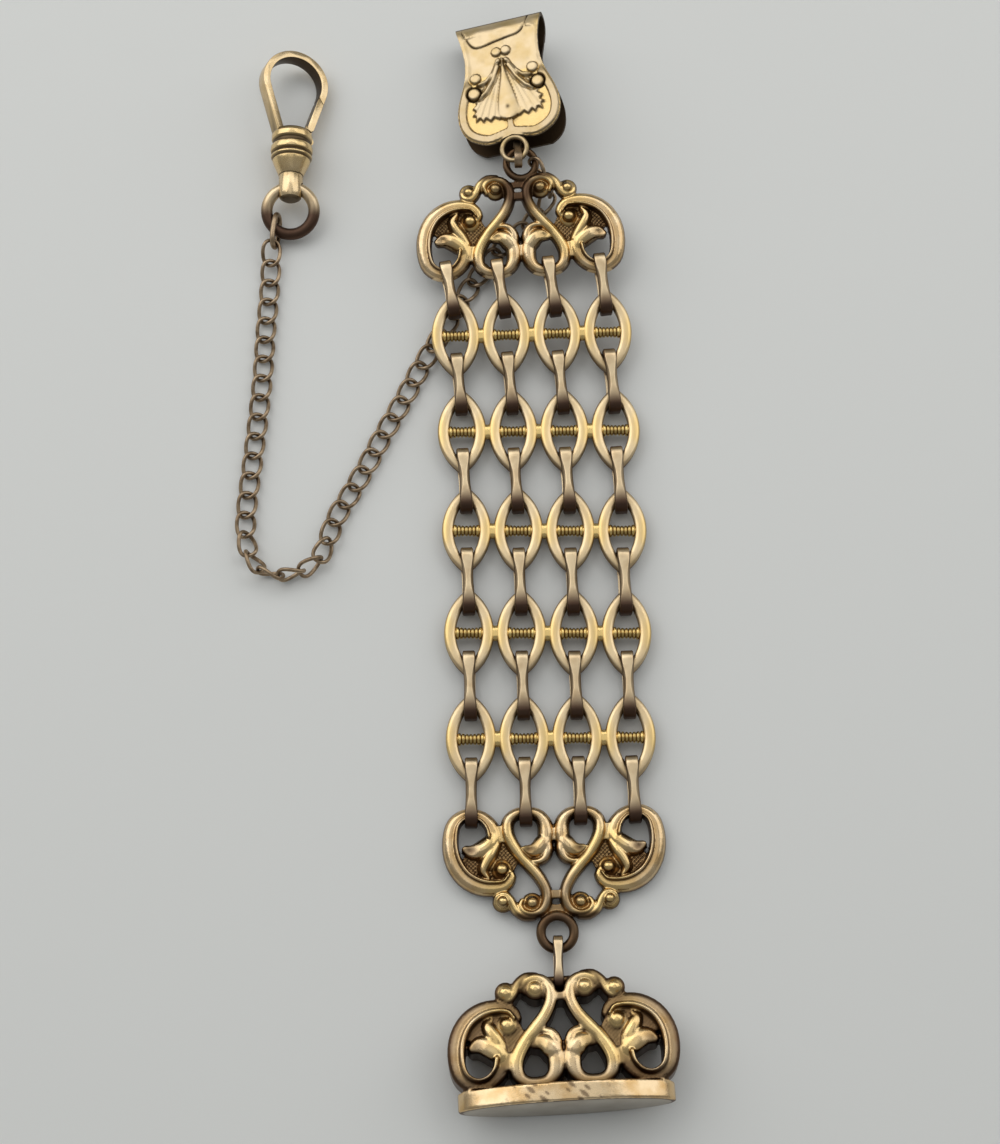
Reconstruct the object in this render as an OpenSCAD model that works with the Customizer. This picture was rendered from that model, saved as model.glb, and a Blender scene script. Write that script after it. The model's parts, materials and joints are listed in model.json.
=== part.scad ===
// A waist-worn chatelaine, laid flat: a spring clip, a mesh band of soldered ovals between two
// pierced scroll plates, a fob seal at the foot, and a side chain that ends in a swivel hook.
// X runs across the band, Y runs up the band to the clip, Z is up from the surface it lies on.

/* [Band] */
// Distance between the centres of neighbouring ovals
col_pitch = 6; // [5.9:0.05:6.3]
// Distance between the centres of neighbouring rows of ovals
row_pitch = 12.24; // [11.9:0.02:12.8]
// Height of the ovals' underside above the surface
lay_gap = 0.8; // [0.75:0.05:1]

/* [Ovals] */
// Width of one oval
oval_w = 5.7; // [5.5:0.05:5.8]
// Height of one oval from tip to tip
oval_h = 10.3; // [10:0.1:10.6]
// Width of the bar that goes round an oval
oval_bar = 1.2; // [1:0.05:1.25]
// Thickness of an oval
oval_t = 1.2; // [1:0.05:1.3]
// Diameter of the reeded crossbar over its ridges
bar_d = 1; // [0.8:0.05:1.1]
// Number of ridges on a crossbar
bar_ridges = 7; // [5:1:9]
// Height of the solder bridge between two ovals
bridge_h = 2.6; // [2:0.1:3.2]

/* [Strip rings] */
// Width of the strip that the rings between the rows are bent from
strip_w = 1.25; // [1:0.05:1.3]
// Thickness of that strip
strip_t = 0.5; // [0.4:0.05:0.55]
// Height of a ring as it stands on edge
ring_h = 2.9; // [2.8:0.05:3.2]
// Depth of the waist that narrows a strip on each side
strip_waist = 0.14; // [0.05:0.01:0.2]
// Clearance between a ring's side and the hole that it passes through
ring_gap = 0.17; // [0.15:0.01:0.2]
// Width of the ring that holds the clip
clip_ring_w = 0.95; // [0.8:0.05:1]
// Width of the link that holds the fob
fob_link_w = 1.1; // [0.9:0.05:1.15]

/* [Scroll plates] */
// Height of a scroll plate from its loops to its tip
plate_h = 12.2; // [11.8:0.1:12.8]
// Thickness of a scroll plate at the crest of its scrolls
plate_t = 1.4; // [1.2:0.05:1.5]
// Width of the widest scroll
scroll_w = 1.25; // [1.1:0.05:1.35]
// Outer diameter of the bottom plate's eye, soldered to its tip
eye_d = 4.75; // [4.6:0.05:5]
// Outer diameter of the top plate's eye
top_eye_d = 4.4; // [4.3:0.05:4.7]
// Wire diameter of the bottom plate's eye
eye_wire = 1.1; // [1:0.05:1.15]
// Wire diameter of the top plate's eye
top_eye_wire = 0.9; // [0.8:0.05:0.95]

/* [Waist clip] */
// Length of the clip from its eye to the fold
clip_l = 18; // [17:0.1:19]
// Width of the clip at its waist
clip_w = 9.2; // [8.6:0.1:9.8]
// Thickness of the folded clip
clip_depth = 4.5; // [4.2:0.1:5]
// Thickness of the clip's strip
leaf_t = 0.45; // [0.35:0.05:0.55]
// Outer diameter of the clip's eye
clip_eye_d = 3.6; // [3.4:0.1:4]
// Wire diameter of the clip's eye
clip_eye_wire = 0.6; // [0.5:0.05:0.65]
// Turn of the clip against the band
clip_turn = 3.3; // [0:0.1:6]
// Roll of the clip about its length, the right side up
clip_roll = 13; // [8:0.5:15]

/* [Fob seal] */
// Thickness of the fob's double-faced scroll mount
fob_t = 4.4; // [4:0.1:4.8]
// Width of the oval base
base_w = 23.3; // [22.5:0.1:24]
// Depth of the oval base
base_d = 8; // [7.6:0.1:8.6]
// Height of the oval base
base_h = 1.8; // [1.5:0.1:2.2]
// Thickness of the seal plate let into the base
seal_t = 0.6; // [0.4:0.1:0.8]
// Gap around the seal plate
seal_gap = 0.08; // [0.06:0.01:0.12]
// Turn of the fob against the band
fob_turn = 1; // [-2:0.5:3]

/* [Watch chain] */
// Outer length of one chain link
link_l = 3.66; // [3.6:0.02:3.76]
// Outer width of one chain link
link_w = 2.66; // [2.6:0.02:2.76]
// Wire diameter of the chain
chain_wire = 0.48; // [0.4:0.01:0.5]
// Distance from one link to the next
chain_pitch = 2.45; // [2.4:0.01:2.5]
// Twist of the chain's links for each pitch
link_twist = 52; // [48:1:58]

/* [Clasp] */
// Outer diameter of the ring at the foot of the clasp
swivel_ring_d = 7.1; // [6.9:0.1:7.6]
// Wire diameter of that ring
swivel_wire = 1.4; // [1.2:0.05:1.5]
// Diameter of the turning stem
stem_d = 2.9; // [2.7:0.1:3.2]
// Diameter of the collar
collar_d = 5.1; // [4.9:0.1:5.5]
// Length of the clasp from the ring's hole to the top of the hook
clasp_l = 17.5; // [17:0.1:18.5]
// Width of the hook
hook_w = 8.3; // [8:0.1:8.8]
// Thickness of the hook's strip
hook_t = 0.85; // [0.7:0.05:0.95]
// Width of the hook's strip
hook_band = 1.9; // [1.7:0.05:2.1]
// Diameter of the swivel's peg
peg_d = 1.4; // [1.2:0.1:1.6]
// Running clearance of the swivel and of the gate, measured on the radius
run_gap = 0.08; // [0.06:0.01:0.1]
// Roll of the hook about the clasp's length
hook_roll = 25; // [0:1:30]
// Turn of the clasp against the band
clasp_turn = -2.4; // [-6:0.1:4]

/* [Hidden] */
$fn = 48;

pale_gold = [0.80, 0.66, 0.47];
yellow_gold = [0.82, 0.66, 0.33];
brown_gold = [0.52, 0.42, 0.30];
dark_wire = [0.30, 0.26, 0.20];
seal_grey = [0.55, 0.52, 0.47];

// Points are turned the same way as rotate() turns a shape: about X, then Y, then Z.
function spin_x(p, a) = [p[0], p[1]*cos(a) - p[2]*sin(a), p[1]*sin(a) + p[2]*cos(a)];
function spin_y(p, a) = [p[0]*cos(a) + p[2]*sin(a), p[1], -p[0]*sin(a) + p[2]*cos(a)];
function spin_z(p, a) = [p[0]*cos(a) - p[1]*sin(a), p[0]*sin(a) + p[1]*cos(a), p[2]];
function turned(p, r) = spin_z(spin_y(spin_x(p, r[0]), r[1]), r[2]);
function at(lay, p) = lay[0] + turned(p, lay[1]);

// A smooth curve through the rows of a table, with n steps from each row to the next.
function row_of(t, i) = t[max(0, min(len(t) - 1, i))];
function smooth(a, b, c, d, s) =
    0.5*(2*b + (c - a)*s + (2*a - 5*b + 4*c - d)*s*s + (3*b - a - 3*c + d)*s*s*s);
function curve(t, n) = concat(
    [for (i = [0:len(t) - 2]) for (k = [0:n - 1])
        smooth(row_of(t, i - 1), t[i], t[i + 1], row_of(t, i + 2), k/n)],
    [t[len(t) - 1]]);

// Ovals: two arcs of bar_r about centres oval_off to either side, with rounded tips.
tip_r = oval_bar*0.66;
lens_h = oval_h/2 + oval_bar*0.1;
oval_r = (pow(oval_w/2, 2) + pow(lens_h, 2))/oval_w;
oval_off = oval_r - oval_w/2;
inner_r = oval_r - oval_bar;
hole_w = oval_w - 2*oval_bar;
arc_half = asin(sqrt(pow(inner_r, 2) - pow(oval_off, 2))/inner_r) + 3;
chamfer = oval_bar*0.18;
shoulder = oval_t*0.72;

// How far from a row's centre line, and from a plate's loops, a ring's outer end lies.
row_reach = sqrt(pow(inner_r, 2) - pow(oval_off + strip_w/2 + ring_gap, 2)) - strip_t
    - ring_gap;
plate_reach = plate_h*0.183;

// How each row lies: shift across in column pitches, shift along in row pitches,
// rise in ring heights, tilt of its upper end, and turn.
ROW_LAY = [
    [-0.035, -0.027, 0.27, 5, -0.6],
    [ 0.020,  0.000, 0.00, 0, -1.5],
    [ 0.035,  0.000, 0.00, 0, -2.3],
    [ 0.008,  0.000, 0.00, 0, -2.3],
    [-0.028,  0.000, 0.00, 0, -1.5]];
function row_lay(i) = let (t = ROW_LAY[i - 1]) [
    [t[0]*col_pitch, (3 - i + t[1])*row_pitch, lay_gap + oval_t/2 + t[2]*ring_h],
    [t[3], 0, t[4]]];

// Plates lie with their loops 0.6 of a row pitch from the next row's centre line.
top_tilt = 8;
top_lay = [[-0.16*col_pitch, row_lay(1)[0][1] + 0.6*row_pitch,
    lay_gap + 0.41*ring_h], [top_tilt, -1.5, 0.5]];
low_lay = [[-0.05*col_pitch, row_lay(5)[0][1] - 0.63*row_pitch, lay_gap], [0, 0, -0.5]];

// Loop centres on a plate, in column pitches from its middle.
LOOPS = [-1.53, -0.51, 0.51, 1.53];
// A ring's seat on a row or a plate: side is 1 for the upper side and -1 for the lower.
function row_seat(i, c, side) = at(row_lay(i), [(c - 2.5)*col_pitch, side*row_reach, 0]);
function plate_seat(lay, c, side) =
    at(lay, [LOOPS[c - 1]*col_pitch, side*plate_reach, oval_t/2]);
function upper_seat(r, c) = r == 1 ? plate_seat(top_lay, c, 1) : row_seat(r - 1, c, -1);
function lower_seat(r, c) = r == 6 ? plate_seat(low_lay, c, -1) : row_seat(r, c, 1);

// The chain runs under the first ring, whose lower end lies this much higher in its oval.
over_chain = ring_h*0.1;
// Lean of each ring about its length, row by row.
RING_LEAN = [
    [ 0, -1,  1,  0],
    [ 2,  1, -2,  3],
    [ 3, -1,  1, -2],
    [ 3,  1, -1,  2],
    [-1,  1,  0, -2],
    [ 1, -1,  1, -1]];

// Scroll ornament for the right half of a plate, loops at the foot and tip at the top.
// Columns: across in column pitches, up in plate heights, width in scroll widths,
// height in plate thicknesses.
OUTER_SCROLL = [
    [0.90, 0.560, 0.55, 0.75],
    [0.80, 0.625, 0.70, 0.85],
    [0.90, 0.708, 0.85, 0.92],
    [1.12, 0.742, 0.95, 1.00],
    [1.42, 0.722, 1.00, 1.00],
    [1.68, 0.640, 1.00, 1.00],
    [1.87, 0.500, 1.00, 1.00],
    [1.95, 0.335, 1.00, 1.00],
    [1.90, 0.170, 1.00, 1.00],
    [1.75, 0.078, 0.95, 0.97],
    [1.54, 0.048, 0.90, 0.93],
    [1.32, 0.080, 0.92, 0.95],
    [1.16, 0.170, 1.00, 0.97],
    [1.11, 0.270, 1.05, 1.00],
    [1.15, 0.370, 0.95, 1.00],
    [1.31, 0.428, 0.70, 0.95],
    [1.53, 0.442, 0.40, 0.80]];
OUTER_LEAF = [
    [1.08, 0.340, 0.80, 0.95],
    [1.20, 0.440, 0.85, 1.00],
    [1.29, 0.530, 0.80, 0.97],
    [1.28, 0.620, 0.45, 0.80]];
INNER_SCROLL = [
    [0.52, 0.965, 0.50, 0.80],
    [0.36, 0.975, 0.62, 0.85],
    [0.22, 0.925, 0.70, 0.90],
    [0.165, 0.850, 0.66, 0.95],
    [0.17, 0.765, 0.72, 1.00],
    [0.29, 0.655, 0.76, 1.00],
    [0.45, 0.560, 0.80, 1.00],
    [0.62, 0.460, 0.84, 1.00],
    [0.78, 0.350, 0.90, 1.00],
    [0.87, 0.240, 0.95, 1.00],
    [0.85, 0.130, 0.95, 0.95],
    [0.72, 0.062, 0.90, 0.93],
    [0.51, 0.046, 0.90, 0.92],
    [0.30, 0.068, 0.92, 0.93],
    [0.16, 0.150, 1.00, 0.97],
    [0.125, 0.255, 1.05, 1.00],
    [0.17, 0.350, 0.90, 1.00],
    [0.30, 0.405, 0.65, 0.93],
    [0.49, 0.428, 0.35, 0.80]];
INNER_LEAF = [
    [0.14, 0.310, 0.80, 0.95],
    [0.115, 0.410, 0.80, 1.00],
    [0.19, 0.495, 0.65, 0.93],
    [0.36, 0.530, 0.35, 0.80]];
CURL = [
    [0.46, 0.930, 0.45, 0.80],
    [0.60, 0.860, 0.55, 0.85],
    [0.74, 0.790, 0.62, 0.88],
    [0.92, 0.762, 0.66, 0.88],
    [1.05, 0.805, 0.55, 0.85],
    [1.05, 0.880, 0.40, 0.75],
    [0.95, 0.915, 0.25, 0.65]];
// Balls: across, up, radius in scroll widths, height in plate thicknesses.
BALLS = [
    [0.975, 0.570, 0.58, 1.08],
    [0.430, 0.868, 0.52, 1.05],
    [0.930, 0.850, 0.46, 1.00]];
// Sunk ground behind the outer scroll: across and up.
GROUND = [
    [0.86, 0.40], [1.05, 0.30], [1.22, 0.40], [1.42, 0.46], [1.66, 0.44], [1.84, 0.52],
    [1.66, 0.66], [1.40, 0.73], [1.12, 0.74], [0.90, 0.70], [0.80, 0.60]];
ground_t = plate_t*0.38;
solder_y = plate_h*0.81;

// The cross-section of a scroll: a flat-backed ridge, or one with two faces for the fob.
function ridge(w, h, m) = m == 0
    ? [[-w/2, 0], [-w/2, 0.5*h], [0, h], [w/2, 0.5*h], [w/2, 0]]
    : [[-w/2, -m], [-w/2, m], [0, m + h/2], [w/2, m], [w/2, -m], [0, -m - h/2]];

module sweep_ridge(t, n, m) {
    pts = [for (q = curve(t, n))
        [q[0]*col_pitch, q[1]*plate_h, q[2]*scroll_w, q[3]*plate_t]];
    last = len(pts) - 1;
    k = len(ridge(1, 1, m));
    rings = [for (i = [0:last])
        let (d = pts[min(last, i + 1)] - pts[max(0, i - 1)],
             e = norm([d[0], d[1]]), across = [d[1]/e, -d[0]/e])
        for (s = ridge(pts[i][2], pts[i][3], m))
            [pts[i][0] + across[0]*s[0], pts[i][1] + across[1]*s[0], s[1]]];
    sides = [for (i = [0:last - 1]) for (j = [0:k - 1])
        for (f = [[i*k + j, (i + 1)*k + (j + 1)%k, i*k + (j + 1)%k],
                  [i*k + j, (i + 1)*k + j, (i + 1)*k + (j + 1)%k]]) f];
    caps = [[for (j = [0:k - 1]) j], [for (j = [k - 1:-1:0]) last*k + j]];
    polyhedron(rings, concat(sides, caps), convexity = 6);
}

module ball(b, m) {
    r = b[2]*scroll_w;
    h = b[3]*plate_t/(m == 0 ? 1 : 2);
    translate([b[0]*col_pitch, b[1]*plate_h, 0]) {
        for (side = m == 0 ? [1] : [1, -1])
            scale([1, 1, side])
                rotate_extrude($fn = 10)
                    polygon([[0, 0], [r, 0], [r, m + h*0.35], [r*0.72, m + h*0.82],
                        [r*0.3, m + h], [0, m + h]]);
    }
}

// One half of the ornament; m is half the depth of the fob's plain wall, or 0 on a flat plate.
module half_ornament(m) {
    low = m == 0 ? 0 : -ground_t;
    steps = m == 0 ? 2 : 1;
    sweep_ridge(OUTER_SCROLL, steps, m);
    sweep_ridge(INNER_SCROLL, steps, m);
    sweep_ridge(OUTER_LEAF, 1, m);
    sweep_ridge(INNER_LEAF, 1, m);
    sweep_ridge(CURL, 1, m);
    for (b = BALLS) ball(b, m);
    translate([0, 0, low]) linear_extrude(m == 0 ? ground_t : 2*ground_t)
        polygon([for (g = GROUND) [g[0]*col_pitch, g[1]*plate_h]]);
}

// The whole ornament with its solder joints: the halves at the foot and the crossing, and
// the loops to each other.
module ornament(m) {
    base = m == 0 ? 0 : -m - plate_t*0.3;
    tall = m == 0 ? plate_t*0.75 : 2*m + plate_t*0.6;
    half_ornament(m);
    mirror([1, 0, 0]) half_ornament(m);
    translate([0, solder_y, base + tall/2])
        cube([col_pitch*0.22, plate_h*0.075, tall], center = true);
    translate([0, plate_h*0.26, base + tall/2])
        cube([col_pitch*0.16, plate_h*0.13, tall], center = true);
    for (side = [-1, 1]) translate([side*col_pitch*0.99, plate_h*0.26, base + tall/2])
        cube([col_pitch*0.14, plate_h*0.17, tall], center = true);
}

// A round eye lies just past the tip, its near side soldered between the two volutes.
// The top plate's eye sits a little to one side.
top_eye_x = plate_h*0.045;
function eye_y(d) = plate_h*0.96 + d/2;

module flat_plate(d, wire, x) {
    resize([0, 0, plate_t*1.08]) union() {
        ornament(0);
        translate([0, plate_h*0.93, plate_t*0.22])
            cube([col_pitch*0.4, plate_h*0.07, plate_t*0.44], center = true);
        translate([x, eye_y(d), wire/2]) rotate_extrude($fn = 24)
            translate([(d - wire)/2, 0]) circle(d = wire, $fn = 8);
    }
}

// Where the two eyes, the fob's bar and the clip lie.
low_eye = at([low_lay[0], low_lay[1] + [0, 0, 180]], [0, eye_y(eye_d), eye_wire/2]);
top_eye = at(top_lay, [top_eye_x, eye_y(top_eye_d), top_eye_wire/2]);
clip_eye_r = (clip_eye_d - clip_eye_wire)/2;
clip_at = top_eye + [-0.06*plate_h, 0.112*plate_h, clip_eye_wire*2.4];
clip_place = [clip_at, [0, -clip_roll, clip_turn]];
clip_eye_near = at(clip_place, [0, -clip_eye_r, 0]);

// Outline of the clip's front: distance from the eye in clip lengths, half width in clip widths.
CLIP_OUTLINE = [
    [1.000, 0.587], [0.940, 0.570], [0.860, 0.535], [0.770, 0.507], [0.680, 0.500],
    [0.600, 0.518], [0.530, 0.555], [0.460, 0.607], [0.380, 0.660], [0.290, 0.685],
    [0.205, 0.660], [0.140, 0.587], [0.095, 0.467], [0.070, 0.326], [0.078, 0.175],
    [0.100, 0.000]];
// Side of the clip's back leaf from the fold down to its free end: distance from the eye in
// clip lengths, and depth behind the front in clip depths.
BACK_LEAF = [
    [0.870, 0.950], [0.800, 0.900], [0.720, 0.700], [0.640, 0.440], [0.570, 0.300],
    [0.500, 0.330], [0.400, 0.520], [0.280, 0.760], [0.160, 0.920], [0.090, 0.950]];
fold_r = clip_depth/2;
fold_y = clip_l - fold_r;
relief_t = leaf_t*0.6;

function outline_points(k) = let (t = curve(CLIP_OUTLINE, 2)) concat(
    [for (q = t) [q[1]*clip_w*k, q[0]*clip_l]],
    [for (i = [len(t) - 2:-1:0]) [-t[i][1]*clip_w*k, t[i][0]*clip_l]]);

// Side view of the folded strip: y along the clip, x behind its front face.
module clip_side() {
    path = [for (q = curve(BACK_LEAF, 3)) [q[0]*clip_l, q[1]*clip_depth - leaf_t/2]];
    last = len(path) - 1;
    normals = [for (i = [0:last])
        let (d = path[min(last, i + 1)] - path[max(0, i - 1)]) [d[1], -d[0]]/norm(d)];
    square([leaf_t, fold_y]);
    translate([fold_r, fold_y]) intersection() {
        difference() {
            circle(r = fold_r);
            circle(r = fold_r - leaf_t);
        }
        translate([-fold_r, -fold_r*0.34]) square([2*fold_r, 2*fold_r]);
    }
    polygon(concat(
        [for (i = [0:last]) let (p = path[i] + normals[i]*leaf_t/2) [p[1], p[0]]],
        [for (i = [last:-1:0]) let (p = path[i] - normals[i]*leaf_t/2) [p[1], p[0]]]));
}

// Round bosses on the front: across in clip widths, up in clip lengths, radius in clip widths.
BOSSES = [
    [0.058, 0.752, 0.068], [0.385, 0.588, 0.070], [0.430, 0.478, 0.085]];
// The leaf's cut edge: across in clip widths, up in clip lengths.
LEAF_EDGE = [
    [0.06, 0.69], [0.20, 0.60], [0.33, 0.53], [0.40, 0.44], [0.46, 0.42], [0.43, 0.38],
    [0.49, 0.35], [0.45, 0.31], [0.52, 0.27], [0.45, 0.25], [0.47, 0.20], [0.38, 0.225],
    [0.36, 0.195], [0.29, 0.22], [0.25, 0.19], [0.18, 0.215], [0.13, 0.185], [0.06, 0.21]];
// Fan ribs: angle at the top of the fan, length in clip lengths, radius in clip widths.
FAN_START = 0.13;
FAN = [[11, 0.44, 0.030], [19, 0.41, 0.028], [28, 0.36, 0.026], [37, 0.31, 0.024]];

// Width of the tab between the sheet and its eye.
clip_tab_w = 0.12*clip_w;

module boss(r) {
    rotate_extrude() polygon([[0, -leaf_t/2], [r, -leaf_t/2], [r, 0.3*r], [0.86*r, 0.6*r],
        [0.5*r, 0.84*r], [0, 0.84*r]]);
}

module clip_relief() {
    for (side = [-1, 1]) {
        for (b = BOSSES) translate([side*b[0]*clip_w, b[1]*clip_l, 0]) boss(b[2]*clip_w);
        for (f = FAN) translate([0, 0.70*clip_l, 0]) rotate([90, 0, side*f[0]])
            translate([0, 0, FAN_START*clip_l])
                cylinder(h = (f[1] - FAN_START)*clip_l, r1 = f[2]*clip_w*0.7,
                    r2 = f[2]*clip_w*1.6, $fn = 24);
    }
    translate([0, 0, -leaf_t/2]) linear_extrude(relief_t + leaf_t/2) polygon(concat(
        [for (q = LEAF_EDGE) [q[0]*clip_w, q[1]*clip_l]],
        [for (i = [len(LEAF_EDGE) - 1:-1:0])
            [-LEAF_EDGE[i][0]*clip_w, LEAF_EDGE[i][1]*clip_l]]));
    // The smooth drop in the middle of the fan
    translate([0, 0.70*clip_l, 0]) rotate([90, 0, 0]) rotate_extrude() polygon([
        [0, 0], [0.015*clip_w, 0], [0.088*clip_w, 0.36*clip_l], [0.070*clip_w, 0.395*clip_l],
        [0.040*clip_w, 0.408*clip_l], [0, 0.408*clip_l]]);
}

module clip_border() {
    translate([0, 0, -leaf_t/2]) linear_extrude(relief_t*1.2 + leaf_t/2) difference() {
        intersection() {
            polygon(outline_points(1));
            translate([-clip_w, 0]) square([2*clip_w, 0.52*clip_l]);
        }
        for (side = [-1, 1]) translate([side*0.285*clip_w, 0.335*clip_l])
            circle(r = 0.285*clip_w);
        translate([0, 0.50*clip_l]) circle(r = 0.42*clip_w);
    }
}

module waist_clip() {
    color(pale_gold) placed() translate(clip_at) rotate(clip_place[1]) {
        intersection() {
            rotate([0, 90, 0]) linear_extrude(2*clip_w, center = true) clip_side();
            translate([0, 0, -2*clip_depth]) linear_extrude(3*clip_depth)
                polygon(outline_points(1));
        }
        clip_border();
        clip_relief();
        // A tab that keeps the eye on the sheet
        translate([-clip_tab_w/2, clip_eye_r, -leaf_t])
            cube([clip_tab_w, 0.12*clip_l - clip_eye_r, leaf_t]);
        rotate_extrude() translate([clip_eye_r, 0]) circle(d = clip_eye_wire);
    }
}

// A ring bent from flat strip, standing on edge along Y, with a waist in its middle.
module rounded_slot(l, h, r) {
    square([l - 2*r, h], center = true);
    square([l, h - 2*r], center = true);
    for (x = [-1, 1], y = [-1, 1]) translate([x*(l/2 - r), y*(h/2 - r)]) circle(r = r);
}

module strip_ring(l, h, w, t, r) {
    slim = w/2 - strip_waist;
    intersection() {
        rotate([90, 0, 90]) linear_extrude(w, center = true) difference() {
            rounded_slot(l, h, r);
            rounded_slot(l - 2*t, h - 2*t, r - t*0.8);
        }
        translate([0, 0, -h]) linear_extrude(2*h) polygon([
            [-w/2, -l], [w/2, -l], [w/2, -l*0.34], [slim, -l*0.12], [slim, l*0.12],
            [w/2, l*0.34], [w/2, l], [-w/2, l], [-w/2, l*0.34], [-slim, l*0.12],
            [-slim, -l*0.12], [-w/2, -l*0.34]]);
    }
}

// Places a ring of the given height so that its outer ends reach the points a and b.
module ring_between(a, b, h, w, lean = 0, t = strip_t, round_off = 0.4) {
    d = a - b;
    mid = (a + b)/2;
    up = atan2(d[2], norm([d[0], d[1]]));
    translate([mid[0], mid[1], max(h/2 + w*abs(sin(lean))/2 + 0.02, mid[2])])
        rotate([0, 0, atan2(d[1], d[0]) - 90]) rotate([up, 0, 0]) rotate([0, lean, 0])
            strip_ring(norm(d), h, w, t, round_off*h);
}

module connector(r, c) {
    lift = [0, 0, r == 1 && c == 1 ? over_chain : 0];
    color(brown_gold) placed()
        ring_between(upper_seat(r, c), lower_seat(r, c) + lift, ring_h, strip_w,
            RING_LEAN[r - 1][c - 1]);
}

// The clip's ring goes round the near side of the clip's eye and the far side of the plate's.
clip_ring_t = strip_t*0.8;
module clip_ring() {
    from_eye = at(top_lay, [top_eye_x,
        eye_y(top_eye_d) + (top_eye_d - top_eye_wire)/2, top_eye_wire/2]);
    middle_x = (from_eye[0] + clip_eye_near[0])/2;
    a = [middle_x, from_eye[1], from_eye[2]];
    b = [middle_x, clip_eye_near[1], clip_eye_near[2]];
    d = a - b;
    u = d/norm(d);
    slack = 0.2;
    h = top_eye_wire + 2*(slack + clip_ring_t);
    color(dark_wire) placed()
        ring_between(a + u*h/2, b - u*(clip_eye_wire/2 + slack + clip_ring_t),
            h, clip_ring_w, t = clip_ring_t, round_off = 0.49);
}

// One oval's arc of bar, with its upper edges chamfered.
module oval_arc() {
    translate([-oval_off, 0, -oval_t/2]) rotate([0, 0, -arc_half])
        rotate_extrude(angle = 2*arc_half)
            translate([inner_r, 0]) polygon([[0, 0], [oval_bar, 0], [oval_bar, shoulder],
                [oval_bar - chamfer, oval_t], [chamfer, oval_t], [0, shoulder]]);
}

module oval_tip() {
    translate([0, oval_h/2 - tip_r, -oval_t/2]) {
        cylinder(r = tip_r, h = shoulder);
        translate([0, 0, shoulder])
            cylinder(r1 = tip_r, r2 = tip_r - chamfer, h = oval_t - shoulder);
    }
}

// The reeded bar across an oval, slightly waisted.
module crossbar() {
    half = hole_w/2 + oval_bar*0.3;
    pitch = hole_w/bar_ridges;
    function bar_r(x) = bar_d/2*(0.88 + 0.12*pow(2*x/hole_w, 2));
    rotate([0, 90, 0]) rotate_extrude() polygon(concat(
        [[0, -half], [bar_d*0.36, -half]],
        [for (i = [0:bar_ridges - 1]) let (x = -hole_w/2 + i*pitch, r = bar_r(x + pitch/2))
            for (q = [[r*0.78, x], [r, x + pitch*0.28], [r, x + pitch*0.72]]) q],
        [[bar_r(hole_w/2)*0.78, hole_w/2], [bar_d*0.36, half], [0, half]]));
}

module oval() {
    oval_arc();
    mirror([1, 0, 0]) oval_arc();
    oval_tip();
    mirror([0, 1, 0]) oval_tip();
    crossbar();
}

module link_row(i) {
    sink = oval_r - sqrt(pow(oval_r, 2) - pow(bridge_h/2, 2)) + oval_bar*0.2;
    color(pale_gold) placed() translate(row_lay(i)[0]) rotate(row_lay(i)[1]) {
        for (c = [0:3]) translate([(c - 1.5)*col_pitch, 0, 0]) oval();
        for (c = [0:2]) translate([(c - 1)*col_pitch, 0, -oval_t*0.1])
            cube([col_pitch - oval_w + 2*sink, bridge_h, oval_t*0.7], center = true);
    }
}

module top_plate() {
    color(pale_gold) placed() translate(top_lay[0]) rotate(top_lay[1])
        flat_plate(top_eye_d, top_eye_wire, top_eye_x);
}

module bottom_plate() {
    color(pale_gold) placed() translate(low_lay[0]) rotate(low_lay[1] + [0, 0, 180])
        flat_plate(eye_d, eye_wire, 0);
}

// The fob lies on the edge of its base and on its tip, which sets its tilt.
wall = (fob_t - plate_t)/2;
fob_tilt = atan((base_d - fob_t)/2/(plate_h*0.97));
bar_y = plate_h*0.985;
fob_bar_d = eye_wire*0.87;
link_in_eye = low_eye - [0, eye_d/2 - eye_wire - strip_t - ring_gap*2, 0];
fob_tip_y = link_in_eye[1] - strip_t - ring_gap - eye_wire - 3.1;
fob_at = [-0.06*col_pitch, fob_tip_y - bar_y*cos(fob_tilt),
    base_d/2*cos(fob_tilt) + base_h*0.03];
fob_place = [fob_at, [-fob_tilt, 0, fob_turn]];
fob_bar = at(fob_place, [0, bar_y, 0]);

module fob_link() {
    d = link_in_eye - fob_bar;
    u = d/norm(d);
    color(brown_gold) placed()
        ring_between(link_in_eye, fob_bar - u*(fob_bar_d/2 + ring_gap + strip_t),
            ring_h*0.93, fob_link_w);
}

function oval_points(w, d, n) = [for (i = [0:n - 1]) [w/2*cos(360*i/n), d/2*sin(360*i/n)]];

module fob_mount() {
    color(pale_gold) placed() translate(fob_at) rotate(fob_place[1])
        difference() {
            union() {
                resize([base_w*1.055, 0, 0]) ornament(wall);
                translate([0, bar_y, 0]) rotate([0, 90, 0])
                    cylinder(d = fob_bar_d, h = col_pitch*0.46, center = true, $fn = 12);
                translate([0, plate_h*0.02, 0]) rotate([90, 0, 0])
                    linear_extrude(base_h + plate_h*0.02)
                        polygon(oval_points(base_w, base_d, 44));
            }
            translate([0, -base_h + seal_t, 0]) rotate([90, 0, 0]) linear_extrude(seal_t*2)
                polygon(oval_points(base_w*0.965, base_d - base_w*0.035, 44));
        }
}

module seal_plate() {
    seal_w = base_w*0.965 - 2*seal_gap;
    seal_d = base_d - base_w*0.035 - 2*seal_gap;
    color(seal_grey) placed() translate(fob_at) rotate(fob_place[1])
        translate([0, -base_h + seal_t - seal_gap, 0]) rotate([90, 0, 0])
            linear_extrude(seal_t - seal_gap) polygon(oval_points(seal_w, seal_d, 44));
}

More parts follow.
